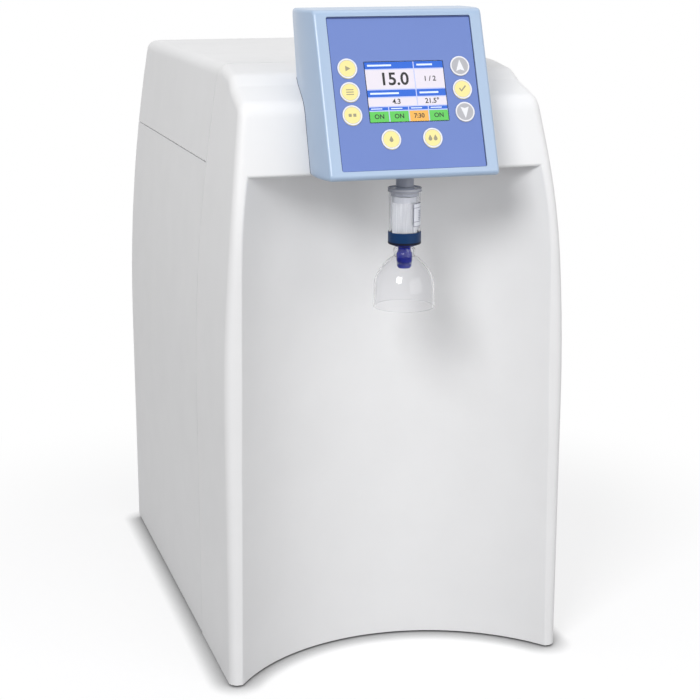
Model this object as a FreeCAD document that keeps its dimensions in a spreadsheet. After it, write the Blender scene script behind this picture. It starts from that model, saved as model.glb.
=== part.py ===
import FreeCAD, Part
import math
import os
from FreeCAD import Placement, Rotation, Vector
from Sketcher import Constraint

# Ultrapure water system: a bench cabinet with an arched dispensing bay, a tilted console above the bay,
# and a final filter with a bell hanging under the console.
# Frame: +Z up, +Y to the back, origin on the bench under the middle of the part. Millimetres and degrees.

# Driving dimensions
SIZES = {
    # cabinet outline
    "cabinet_width": 314,
    "cabinet_depth": 470,
    "cabinet_height": 541,
    "cover_lift": 2,
    "side_bend_drop": 155,
    "side_bend_radius": 1650,
    "top_narrowing": 27,
    "top_edge_radius": 12,
    "lean_drop": 120,
    "lean_radius": 400,
    "shoulder_back": 22,
    "shoulder_drop": 28,
    "shoulder_radius": 18,
    "crease_back": 60,
    "crease_drop": 15.3,
    "crease_radius": 5,
    "riser_back": 76,
    "riser_drop": 6,
    "riser_radius": 18,
    "crown_back": 119.4,
    "crown_radius": 140,
    "rear_edge_radius": 6,
    "corner_radius": 8,
    # covers and their seams
    "wall": 3,
    "seam_back": 121,
    "seam_drop": 87,
    "seam_gap": 1,
    "fit_gap": 0.3,
    "overrun": 20,
    "console_port_radius": 12,
    "console_port_rise": 24,
    "hood_post_radius": 5,
    "hood_post_inset": 30,
    "hood_post_side_inset": 57,
    "door_flange_lift": 1.5,
    # dispensing bay
    "bay_cheek": 11.3,
    "bay_depth": 73.3,
    "bay_draft": 5,
    "bay_edge_radius": 2.5,
    # console
    "console_tilt": 21.5,
    "console_ahead": 40.2,
    "console_face_height": 146,
    "console_face_width": 147.4,
    "console_bulge_width": 163,
    "console_bulge_behind": 24,
    "console_bulge_radius": 70,
    "console_rear_width": 144,
    "console_rear_behind": 80,
    "console_back": 71,
    "console_wall": 3.5,
    "console_low_radius": 4,
    "console_top_radius": 7,
    "console_edge_radius": 3,
    "console_seat_gap": 0.2,
    # overlay, screen and keys
    "overlay_width": 126.6,
    "overlay_height": 131.2,
    "overlay_low": 8.8,
    "overlay_corner": 1.5,
    "overlay_sheet": 0.8,
    "overlay_recess": 1.8,
    "screen_width": 70.1,
    "screen_height": 52.6,
    "screen_low": 40.2,
    "screen_corner": 1,
    "window_sheet": 0.8,
    "display_width": 76.9,
    "display_height": 63.9,
    "display_boss_margin": 0.6,
    "key_radius": 8.2,
    "key_gap": 0.2,
    "key_cap": 0.9,
    "key_dome": 0.35,
    "key_travel": 0.4,
    "key_stem_radius": 4.5,
    "key_column": 49.5,
    "key_row_high": 86.6,
    "key_row_middle": 66.5,
    "key_row_low": 46.8,
    "low_key_column": 18.2,
    "low_key_row": 25.4,
    "key_stem_length": 4.8,
    "switch_gap": 0.6,
    "switch_side": 6,
    "switch_height": 3.4,
    "switch_plunger": 1.75,
    "board_sheet": 1.6,
    "board_margin": 2,
    "board_boss_radius": 3,
    "board_boss_inset": 6,
    # outlet and final filter
    "outlet_ahead": 9,
    "stub_radius": 7.6,
    "stub_drop": 10,
    "stub_flange_radius": 10,
    "stub_flange": 2,
    "stub_barb": 5,
    "spigot_radius": 4.2,
    "spigot_length": 5.5,
    "spigot_gap": 0.06,
    "water_bore": 2,
    "cap_radius": 14.4,
    "cap_rim": 2,
    "cap_dome": 2.4,
    "cap_plug": 3,
    "capsule_radius": 13.4,
    "capsule_wall": 1.2,
    "capsule_seen": 34,
    "fibre_radius": 11,
    "fibre_length": 32,
    "fibre_core_radius": 8.8,
    "fibre_strand_radius": 1.7,
    "fibre_strands": 18,
    "fibre_potting": 6,
    "collar_radius": 14.2,
    "collar_height": 10.6,
    "collar_cone": 3.2,
    "collar_floor": 2,
    "nozzle_waist_radius": 5.6,
    "nozzle_bulb_radius": 6.7,
    "nozzle_end_radius": 5.2,
    "nozzle_length": 21.1,
    "nozzle_shoulder_radius": 12,
    "nozzle_bulb_top": 8,
    "nozzle_bulb_low": 15.5,
    "nozzle_edge_radius": 1.2,
    "nozzle_ring_radius": 6.2,
    "nozzle_ring": 1.6,
    "bell_neck_radius": 9.3,
    "bell_radius": 27,
    "bell_rim_radius": 27.7,
    "bell_height": 51,
    "bell_neck_gap": 0.4,
    "bell_neck_height": 9,
    "bell_shoulder_height": 17,
    "bell_wall": 1.4,
    "bell_grip_gap": 0.05,
    # chassis
    "sheet": 2,
    "foot_height": 5,
    "foot_radius": 12,
    "foot_taper": 2,
    "foot_edge": 1.5,
    "foot_screw_radius": 4,
    "foot_recess": 2,
    "foot_rear_inset": 32,
    "foot_front_inset": 20,
    "foot_front": 44,
    "tray_corner": 14,
    "tray_lip": 18,
    "bulkhead_ahead": 4,
    "bulkhead_flange": 16,
    "bulkhead_port_drop": 25,
    "divider_left": 30,
    "divider_flange": 12,
    "deck_front": 84,
    "deck_lift": 1,
    # doors
    "door_flange_inset": 37,
    "door_floor": 3.5,
    "hinge_inset": 30,
    "hinge_ahead": 9,
    "door_return_inset": 18,
    "pin_radius": 2.5,
    "pin_length": 9,
    "pin_gap": 0.06,
    "pin_head_radius": 4,
    "pin_head": 1,
    "catch_width": 8,
    "catch_depth": 14,
    "catch_height": 32,
    "catch_low": 78,
    "catch_drop": 75,
    "catch_edge": 2,
    "strike_sheet": 1,
    "strike_width": 9,
    # back panel
    "panel_side_inset": 20.5,
    "panel_low": 12,
    "panel_inset": 1,
    "panel_corner": 5,
    "vent_width": 66,
    "vent_slot": 4,
    "vent_pitch": 10,
    "vent_count": 9,
    "vent_side": 62,
    "vent_drop": 154,
    "screw_radius": 2,
    "screw_head_radius": 3.8,
    "screw_head": 2.2,
    "screw_inset": 7,
    "screw_rise": 20,
    # inlet, fuse drawer and rocker
    "inlet_inset": 73,
    "inlet_low": 44,
    "inlet_width": 50,
    "inlet_height": 76,
    "inlet_flange": 3,
    "inlet_corner": 4,
    "inlet_body_width": 40,
    "inlet_body_height": 66,
    "inlet_body_depth": 30,
    "socket_width": 24.6,
    "socket_height": 16.8,
    "socket_depth": 17,
    "socket_low": 11,
    "socket_corner": 3,
    "blade_width": 2,
    "blade_height": 4,
    "blade_length": 15,
    "blade_spread": 7,
    "blade_offset": 4,
    "fuse_width": 27,
    "fuse_height": 9,
    "fuse_depth": 20,
    "fuse_low": 33,
    "fuse_face": 1.6,
    "fuse_gap": 0.3,
    "rocker_width": 22,
    "rocker_height": 17,
    "rocker_low": 48,
    "rocker_tilt": 7,
    "rocker_gap": 0.5,
    "rocker_rise": 2,
    "rocker_body": 7,
    "rocker_axle_radius": 1.5,
    "rocker_axle_gap": 0.08,
    "rocker_axle_end": 1.5,
    # water unions
    "union_inset": 56,
    "union_height": 70,
    "union_thread_radius": 7,
    "union_nut_radius": 10,
    "union_nut": 5,
    "union_out": 15,
    "union_in": 22,
    "union_bore": 3.275,
    "union_bore_depth": 16,
    "union_collet_radius": 5.2,
    "union_collet": 2,
    # cartridges
    "cartridge_gap_out": 4,
    "cartridge_gap_in": 10,
    "cartridge_gap_along": 16,
    "cartridge_first_back": 182,
    "cartridge_pitch": 92,
    "cartridge_low": 52,
    "cartridge_headroom": 117,
    "cartridge_dome": 14,
    "cartridge_shoulder": 10,
    "cartridge_neck": 20,
    "cartridge_grip_radius": 3,
    "cartridge_grip_height": 30,
    "cartridge_grips": 12,
    "head_inset": 1,
    "head_height": 34,
    "head_corner": 9,
    "head_boss_wall": 6,
    "head_boss": 12,
    "head_gap": 0.4,
    "head_port_radius": 6.5,
    "head_port": 11,
    "bracket_lip": 12,
    # ultraviolet chamber and ultrafilter
    "lamp_chamber_headroom": 75,
    "lamp_chamber_low": 80,
    "lamp_cap_rim": 2.25,
    "lamp_cap": 22,
    "lamp_port_radius": 6,
    "lamp_port": 14,
    "lamp_port_inset": 26,
    "saddle_back": 8,
    "saddle_height": 14,
    "filter_module_headroom": 109,
    "filter_module_low": 96,
    "filter_end_rim": 5,
    "filter_end": 26,
    # pump
    "pump_side": 40,
    "pump_back": 262,
    "pump_motor_radius": 38,
    "pump_motor_length": 104,
    "pump_height": 62,
    "pump_head_radius": 32,
    "pump_head_length": 38,
    "pump_foot_width": 64,
    "pump_foot_height": 10,
    "pump_mount_radius": 8,
    "pump_port_radius": 6,
    "pump_port": 12,
    "pump_fins": 18,
    "pump_fin": 1.5,
    # small water parts
    "regulator_radius": 19,
    "regulator_height": 62,
    "regulator_neck": 9,
    "regulator_knob_radius": 13,
    "regulator_back": 420,
    "regulator_low": 150,
    "valve_width": 34,
    "valve_depth": 24,
    "valve_front": 88,
    "valve_body": 30,
    "valve_coil_radius": 10,
    "valve_coil": 18,
    "valve_port_height": 21,
    "valve_edge": 2,
    "cell_radius": 8,
    "cell_length": 54,
    "cell_hex_radius": 11,
    "cell_hex": 12,
    # electrics
    "supply_width": 42,
    "supply_length": 159,
    "supply_height": 97,
    "supply_low": 172,
    "supply_front": 250,
    "supply_edge": 1.5,
    "supply_vent": 3,
    "supply_vent_pitch": 8,
    "supply_vents": 14,
    "supply_vent_height": 60,
    "main_board_length": 150,
    "main_board_gap": 12,
    "main_board_headroom": 35,
    "main_board_front": 250,
    "standoff_radius": 3.2,
    "standoff_height": 8,
    "standoff_inset": 7,
    "chip_height": 6,
    "ballast_width": 28,
    "ballast_length": 120,
    "ballast_height": 40,
    "ballast_low": 118,
    "ballast_front": 214,
    "ballast_edge": 3,
    # tubes
    "tube_radius": 3.175,
    "tube_wall": 0.8,
    "tube_bend": 14,
    "tube_floor": 30,
    "tube_cross": 285,
    "tube_drop_link": 31,
    "tube_drop_low": 27,
    "tube_drop_high": 15,
}


class Size:
    """A size of the sheet, or one worked out from such sizes: its value and the expression that gives it."""

    def __init__(self, value, text):
        self.value = value
        self.text = text

    def __add__(self, other):
        other = as_size(other)
        return Size(self.value + other.value, f"({self.text} + {other.text})")

    def __radd__(self, other):
        return as_size(other) + self

    def __sub__(self, other):
        other = as_size(other)
        return Size(self.value - other.value, f"({self.text} - {other.text})")

    def __rsub__(self, other):
        return as_size(other) - self

    def __mul__(self, other):
        other = as_size(other)
        return Size(self.value * other.value, f"({self.text} * {other.text})")

    def __rmul__(self, other):
        return self * other

    def __truediv__(self, other):
        other = as_size(other)
        return Size(self.value / other.value, f"({self.text} / {other.text})")

    def __neg__(self):
        return Size(-self.value, f"(0 - {self.text})")


def as_size(number):
    return number if isinstance(number, Size) else Size(number, repr(number))


def least(first, second):
    """The lesser of two sizes."""
    return Size(min(first.value, second.value), f"min({first.text}; {second.text})")


def sine(angle):
    return Size(math.sin(math.radians(angle.value)), f"sin({angle.text})")


def cosine(angle):
    return Size(math.cos(math.radians(angle.value)), f"cos({angle.text})")


document = FreeCAD.newDocument("UltrapureWaterSystem")
sheet = document.addObject("Spreadsheet::Sheet", "Sizes")
for row, (alias, number) in enumerate(SIZES.items(), start=1):
    sheet.set(f"A{row}", alias)
    sheet.set(f"B{row}", str(number))
    sheet.setAlias(f"B{row}", alias)
document.recompute()


class Sheet:
    """The sheet's sizes by name."""

    def __getattr__(self, alias):
        return Size(float(SIZES[alias]), f"Sizes.{alias}")


d = Sheet()
pieces = []


# Helpers for objects of the document

def bind(thing, prop, size):
    """Tie a property to its size."""
    if isinstance(size, Size):
        thing.setExpression(prop, size.text)
    elif size:
        setattr(thing, prop, size)


def place(thing, x=0, y=0, z=0, turn=None, angle=None):
    """Put a thing at a point, turned about an axis through it."""
    if turn is not None:
        thing.Placement = Placement(Vector(), Rotation(turn, as_size(angle).value))
        if isinstance(angle, Size):
            thing.setExpression("Placement.Rotation.Angle", angle.text)
    for letter, size in zip("xyz", (x, y, z)):
        if isinstance(size, Size):
            thing.setExpression(f"Placement.Base.{letter}", size.text)
    return thing


def box(name, x, y, z):
    """A block between the low and high ends given for each direction."""
    block = document.addObject("Part::Box", name)
    for prop, ends in zip(("Length", "Width", "Height"), (x, y, z)):
        bind(block, prop, as_size(ends[1]) - as_size(ends[0]))
    return place(block, as_size(x[0]), as_size(y[0]), as_size(z[0]))


def rod(name, radius, length, x, y, z, along="z"):
    """A cylinder that starts at a point and runs along an axis."""
    cylinder = document.addObject("Part::Cylinder", name)
    bind(cylinder, "Radius", radius)
    bind(cylinder, "Height", length)
    turns = {"z": (None, None), "x": (Vector(0, 1, 0), 90), "y": (Vector(1, 0, 0), -90)}
    turn, angle = turns[along]
    return place(cylinder, as_size(x), as_size(y), as_size(z), turn, angle)


def cut(name, base, *tools):
    result = document.addObject("Part::Cut", name)
    result.Base = base
    result.Tool = tools[0] if len(tools) == 1 else fuse(name + "Tools", *tools)
    return result


def fuse(name, *things):
    result = document.addObject("Part::MultiFuse", name)
    result.Shapes = list(things)
    return result


def common(name, *things):
    result = document.addObject("Part::MultiCommon", name)
    result.Shapes = list(things)
    return result


def mirror(name, thing):
    """The same thing on the other side of the middle plane."""
    result = document.addObject("Part::Mirroring", name)
    result.Source = thing
    result.Normal = Vector(1, 0, 0)
    return result


def group(name, *things):
    """Separate solids that share one node."""
    result = document.addObject("Part::Compound", name)
    result.Links = list(things)
    return result


def piece(label, thing):
    """Name a finished piece."""
    thing.Label = label
    pieces.append(thing)
    return thing


# Helpers for bodies and their sketches

def new_body(name):
    return document.addObject("PartDesign::Body", name)


def new_sketch(body, role, name, offset=0):
    """A sketch on one of a body's own planes, or at a distance from it along the plane's normal."""
    sketch = body.newObject("Sketcher::SketchObject", name)
    plane = next(item for item in body.Origin.OriginFeatures if item.Role == role)
    sketch.AttachmentSupport = (plane, "")
    sketch.MapMode = "FlatFace"
    if isinstance(offset, Size):
        sketch.setExpression("AttachmentOffset.Base.z", offset.text)
    return sketch


def constrain(sketch, size, kind, *where):
    """A dimension in a sketch, tied to its size."""
    size = as_size(size)
    number = sketch.addConstraint(Constraint(kind, *where, size.value))
    if size.text != "0":
        sketch.setExpression(f"Constraints[{number}]", size.text)


def loop(sketch, corners):
    """A closed outline through corners (x, y) or (x, y, radius), with each radius a tangent arc."""
    corners = [tuple(as_size(item) for item in corner) for corner in corners]
    points = [Vector(corner[0].value, corner[1].value, 0) for corner in corners]
    rounds = []
    for number, corner in enumerate(corners):
        if len(corner) == 2:
            rounds.append(None)
            continue
        here = points[number]
        back = (points[number - 1] - here).normalize()
        ahead = (points[(number + 1) % len(points)] - here).normalize()
        half = back.getAngle(ahead) / 2
        radius = corner[2].value
        centre = here + (back + ahead).normalize() * (radius / math.sin(half))
        reach = radius / math.tan(half)
        rounds.append((here + back * reach, here + ahead * reach, centre, back.cross(ahead).z < 0))
    lines = []
    for number, point in enumerate(points):
        following = (number + 1) % len(points)
        start = rounds[number][1] if rounds[number] else point
        stop = rounds[following][0] if rounds[following] else points[following]
        lines.append(sketch.addGeometry(Part.LineSegment(start, stop), False))
    for number, corner in enumerate(corners):
        line_in = lines[number - 1]
        line_out = lines[number]
        if rounds[number] is None:
            sketch.addConstraint(Constraint("Coincident", line_in, 2, line_out, 1))
            constrain(sketch, corner[0], "DistanceX", -1, 1, line_out, 1)
            constrain(sketch, corner[1], "DistanceY", -1, 1, line_out, 1)
            continue
        start, stop, centre, leftward = rounds[number]
        first, last = (1, 2) if leftward else (2, 1)
        if not leftward:
            start, stop = stop, start
        angles = [math.atan2(end.y - centre.y, end.x - centre.x) for end in (start, stop)]
        circle = Part.Circle(centre, Vector(0, 0, 1), corner[2].value)
        arc = sketch.addGeometry(Part.ArcOfCircle(circle, *angles), False)
        point = sketch.addGeometry(Part.Point(points[number]), True)
        sketch.addConstraint(Constraint("Tangent", line_in, 2, arc, first))
        sketch.addConstraint(Constraint("Tangent", arc, last, line_out, 1))
        sketch.addConstraint(Constraint("PointOnObject", point, 1, line_in))
        sketch.addConstraint(Constraint("PointOnObject", point, 1, line_out))
        constrain(sketch, corner[2], "Radius", arc)
        constrain(sketch, corner[0], "DistanceX", -1, 1, point, 1)
        constrain(sketch, corner[1], "DistanceY", -1, 1, point, 1)


def ring(sketch, x, y, radius):
    """A circle in a sketch."""
    x, y, radius = as_size(x), as_size(y), as_size(radius)
    circle = Part.Circle(Vector(x.value, y.value, 0), Vector(0, 0, 1), radius.value)
    number = sketch.addGeometry(circle, False)
    constrain(sketch, radius, "Radius", number)
    constrain(sketch, x, "DistanceX", -1, 1, number, 3)
    constrain(sketch, y, "DistanceY", -1, 1, number, 3)


def rectangle(left, low, right, high, radius=None):
    """The four corners of a rectangle, rounded or sharp."""
    corners = [(left, low), (right, low), (right, high), (left, high)]
    if radius is None:
        return corners
    return [corner + (radius,) for corner in corners]


def pad(body, sketch, length, both=False, down=False):
    """Material on a sketch, to one side or to both."""
    feature = body.newObject("PartDesign::Pad", sketch.Name + "Pad")
    feature.Profile = sketch
    bind(feature, "Length", length)
    feature.Midplane = both
    feature.Reversed = down
    body.Tip = feature
    return feature


def pocket(body, sketch, length, both=False, up=False):
    """A cut from a sketch, to one side or to both."""
    feature = body.newObject("PartDesign::Pocket", sketch.Name + "Pocket")
    feature.Profile = sketch
    bind(feature, "Length", length)
    feature.Midplane = both
    feature.Reversed = up
    body.Tip = feature
    return feature


def turned(name, corners, x=0, y=0, z=0, turn=None, angle=None):
    """A body revolved about its own Z axis from an outline of (radius, height) corners."""
    body = new_body(name)
    sketch = new_sketch(body, "XZ_Plane", name + "Outline")
    loop(sketch, corners)
    feature = body.newObject("PartDesign::Revolution", name + "Turn")
    feature.Profile = sketch
    feature.ReferenceAxis = (sketch, ["V_Axis"])
    feature.Angle = 360
    body.Tip = feature
    return place(body, x, y, z, turn, angle)


def polar(body, feature, count):
    """Copies of a feature round the body's Z axis."""
    document.recompute()
    pattern = body.newObject("PartDesign::PolarPattern", feature.Name + "Round")
    pattern.Originals = [feature]
    axis = next(item for item in body.Origin.OriginFeatures if item.Role == "Z_Axis")
    pattern.Axis = (axis, [""])
    pattern.Angle = 360
    bind(pattern, "Occurrences", count)
    body.Tip = pattern
    return pattern


# The cabinet's outlines and the blocks cut from them

half_width = d.cabinet_width / 2
half_top = half_width - d.top_narrowing
front_reach = d.console_ahead - d.console_low_radius * (
    (1 + sine(d.console_tilt)) / cosine(d.console_tilt) - 1)
middle = (d.cabinet_depth - d.wall + d.sheet + d.union_out - front_reach) / 2
seam_height = d.cabinet_height - d.seam_drop
console_low = seam_height + d.seam_gap
deck_low = seam_height + d.deck_lift
bay_mouth = half_width - d.bay_cheek
bay_radius = (bay_mouth * bay_mouth + d.bay_depth * d.bay_depth) / (2 * d.bay_depth)
door_flange_edge = half_width - d.door_flange_inset
catch_edge = door_flange_edge - d.catch_width
hinge_side = half_width - d.hinge_inset
tray_top = d.foot_height + d.sheet
all_across = (-half_width - d.overrun, half_width + d.overrun)
all_along = (-d.overrun - d.console_ahead, d.cabinet_depth + d.overrun)
all_up = (-d.overrun, d.cabinet_height + d.overrun)

outlines = new_body("Outlines")
side_outline = new_sketch(outlines, "YZ_Plane", "SideOutline")
loop(side_outline, [
    (0, -d.overrun),
    (0, d.cabinet_height - d.lean_drop, d.lean_radius),
    (d.shoulder_back, d.cabinet_height - d.shoulder_drop, d.shoulder_radius),
    (d.crease_back, d.cabinet_height - d.crease_drop, d.crease_radius),
    (d.riser_back, d.cabinet_height - d.riser_drop, d.riser_radius),
    (d.crown_back, d.cabinet_height, d.crown_radius),
    (d.cabinet_depth, d.cabinet_height, d.rear_edge_radius),
    (d.cabinet_depth, -d.overrun),
])
front_outline = new_sketch(outlines, "XZ_Plane", "FrontOutline")
loop(front_outline, [
    (-half_width, -d.overrun),
    (half_width, -d.overrun),
    (half_width, d.cabinet_height - d.side_bend_drop, d.side_bend_radius),
    (half_top, d.cabinet_height, d.top_edge_radius),
    (-half_top, d.cabinet_height, d.top_edge_radius),
    (-half_width, d.cabinet_height - d.side_bend_drop, d.side_bend_radius),
])


def slab(name, outline, direction, length):
    """A block made by drawing an outline out to both sides."""
    block = document.addObject("Part::Extrusion", name)
    block.Base = outline
    block.DirMode = "Custom"
    block.Dir = direction
    bind(block, "LengthFwd", length)
    block.Symmetric = True
    block.Solid = True
    return block


def inset(name, outline, distance):
    """An outline drawn in by a distance, with its corners kept."""
    result = document.addObject("Part::Offset2D", name)
    result.Source = outline
    result.Join = "Intersection"
    bind(result, "Value", -distance)
    return result


def envelope(name, distance=None):
    """The cabinet's outer form, or the form a distance inside it."""
    side, front = side_outline, front_outline
    if distance is not None:
        side = inset(name + "SideInset", side, distance)
        front = inset(name + "FrontInset", front, distance)
    along = slab(name + "Side", side, Vector(1, 0, 0), d.cabinet_width + d.overrun)
    across = slab(name + "Front", front, Vector(0, 1, 0), 2 * (d.cabinet_depth + d.overrun))
    result = common(name, along, across)
    result.Refine = True
    return result


def edge_angle(shape, edge):
    """The angle in degrees between the two faces that meet at the middle of an edge."""
    point = edge.valueAt((edge.FirstParameter + edge.LastParameter) / 2)
    faces = shape.ancestorsOfType(edge, Part.Face)
    normals = [face.normalAt(*face.Surface.parameter(point)) for face in faces]
    return math.degrees(normals[0].getAngle(normals[1])) if len(normals) == 2 else 0


def rounded(name, base, radius, wanted):
    """Fillets on the sharp edges whose middle point is wanted."""
    document.recompute()
    result = document.addObject("Part::Fillet", name)
    result.Base = base
    chosen = []
    for number, edge in enumerate(base.Shape.Edges, start=1):
        point = edge.valueAt((edge.FirstParameter + edge.LastParameter) / 2)
        if wanted(point) and edge_angle(base.Shape, edge) > 15:
            chosen.append((number, radius.value, radius.value))
    result.Edges = chosen
    return result


raw_envelope = envelope("RawEnvelope")
corner_reach = (d.cabinet_depth - d.corner_radius).value
outer = rounded("OuterForm", raw_envelope, d.corner_radius,
                lambda point: abs(point.x) > half_top.value / 2 and point.z > 0 and point.y < corner_reach)
inner = envelope("InnerForm", d.wall)
fitting = envelope("FittingForm", d.wall + d.fit_gap)
seat = envelope("SeatForm", -d.console_seat_gap)


def bay(name, growth=0):
    """The dispensing bay: an upright cone with a slight draft, cut into the front."""
    cone = document.addObject("Part::Cone", name)
    bind(cone, "Radius1", bay_radius + growth)
    bind(cone, "Radius2", bay_radius - d.bay_draft + growth)
    bind(cone, "Height", seam_height + growth)
    return place(cone, 0, d.bay_depth - bay_radius, 0)


# Covers

def front_cover():
    """The front moulding: cheeks, bay wall and roof, shoulders, step and the front of the top."""
    ahead = box("FrontSpace", all_across, (-d.overrun, d.seam_back), (d.cover_lift, all_up[1]))
    block = cut("FrontBay", common("FrontBlock", outer, ahead), bay("Bay"))
    mouth = d.lean_radius.value * 0.05
    soft = rounded("FrontSoft", block, d.bay_edge_radius, lambda point: (
        point.y < mouth and abs(point.x) < half_width.value - d.corner_radius.value
        and d.wall.value < point.z < seam_height.value + 1))
    behind = box("FrontHollowSpace", all_across, (-d.overrun, d.seam_back + d.overrun), all_up)
    hollow = cut("FrontHollow", common("FrontCore", inner, behind), bay("BaySkin", d.wall))
    port = rod("ConsolePort", d.console_port_radius, d.seam_back, 0, 0,
               seam_height + d.console_port_rise, "y")
    return piece("front_cover", cut("FrontCover", soft, hollow, port))


def rear_hood():
    """The top and upper sides behind the seam, with four posts down to the deck."""
    space = box("HoodSpace", all_across, (d.seam_back + d.seam_gap, all_along[1]),
                (seam_height + d.seam_gap / 2, all_up[1]))
    core = box("HoodCoreSpace", all_across, (0, all_along[1]), all_up)
    shell = cut("HoodShell", common("HoodBlock", raw_envelope, space), common("HoodCore", inner, core))
    posts = []
    for side, number in ((1, 0), (-1, 1)):
        for place_along in (d.seam_back + d.hood_post_inset, d.cabinet_depth - d.hood_post_inset):
            posts.append(rod(f"HoodPost{number}{len(posts)}", d.hood_post_radius,
                             d.cabinet_height - d.wall - deck_low - d.sheet + d.wall / 2,
                             side * (half_width - d.hood_post_side_inset), place_along, deck_low + d.sheet))
    return piece("rear_hood", fuse("RearHood", shell, *posts))


def door(side):
    """A side door: a skin with flanges turned in round its edge, pivoting at the rear."""
    name = "LeftDoor" if side < 0 else "RightDoor"
    low = d.door_floor
    high = seam_height - d.seam_gap / 2
    front = d.seam_back + d.seam_gap
    skin = box(name + "Space", (-half_width - d.overrun, -door_flange_edge), (front, all_along[1]),
               (low, high))
    block = common(name + "Block", outer, skin)
    flange_low = tray_top + d.door_flange_lift
    tub = box(name + "Tub", (-half_width - d.overrun, 0), (front + d.wall, all_along[1]),
              (flange_low + d.wall, high - d.wall))
    under = box(name + "Under", (-half_width - d.overrun, 0), (0, all_along[1]), (-d.overrun, flange_low))
    beside = box(name + "Beside", (d.door_return_inset - half_width, 0),
                 (d.cabinet_depth - d.wall - d.fit_gap, all_along[1]), all_up)
    hollow = fuse(name + "Hollow", common(name + "TubCore", inner, tub),
                  common(name + "UnderCore", inner, under))
    bore = rod(name + "Bore", d.pin_radius + d.pin_gap, all_up[1], -hinge_side,
               d.cabinet_depth - d.hinge_ahead, 0)
    result = cut(name, block, hollow, beside, bore)
    if side > 0:
        result = mirror(name + "Mirror", result)
    return piece("left_door" if side < 0 else "right_door", result)


# Console: its own directions are X across, v up the tilted face and n out of it

tilt_turn = 90 - d.console_tilt
half_face = d.console_face_width / 2
overlay_mid = d.overlay_low + d.overlay_height / 2
screen_mid = d.overlay_low + d.screen_low + d.screen_height / 2
floor_level = -d.overlay_recess
key_foot = floor_level + d.key_travel + d.key_gap / 2
board_front = key_foot - d.key_stem_length - d.switch_gap - d.switch_height
keys = {
    "key_left_top": (-d.key_column, d.key_row_high),
    "key_left_middle": (-d.key_column, d.key_row_middle),
    "key_left_bottom": (-d.key_column, d.key_row_low),
    "key_up": (d.key_column, d.key_row_high),
    "key_enter": (d.key_column, d.key_row_middle),
    "key_down": (d.key_column, d.key_row_low),
    "key_lower_left": (-d.low_key_column, d.low_key_row),
    "key_lower_right": (d.low_key_column, d.low_key_row),
}


def on_console(thing, across=0, up=0, out=0):
    """Stand a thing on the console's face: across it, up it and out of it."""
    return place(thing, across,
                 -d.console_ahead + up * sine(d.console_tilt) - out * cosine(d.console_tilt),
                 console_low + up * cosine(d.console_tilt) + out * sine(d.console_tilt),
                 Vector(1, 0, 0), tilt_turn)


def plate(name, corners, low, high, holes=()):
    """A flat piece of the console between two levels, with holes cut through it."""
    body = new_body(name)
    sketch = new_sketch(body, "XY_Plane", name + "Outline", low)
    loop(sketch, corners)
    for hole in holes:
        if len(hole) == 3:
            ring(sketch, *hole)
        else:
            loop(sketch, hole)
    pad(body, sketch, high - low)
    return on_console(body)


def about(width, height, middle_up, radius):
    """A rounded rectangle on the console's middle line."""
    return rectangle(-width / 2, middle_up - height / 2, width / 2, middle_up + height / 2, radius)


def console_form(name, outline, barrel):
    """The console's solid form: its side outline, narrowed by the barrel curve of its sides."""
    across = slab(name + "Side", outline, Vector(1, 0, 0), d.console_bulge_width + d.overrun)
    return common(name, across, barrel)


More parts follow.
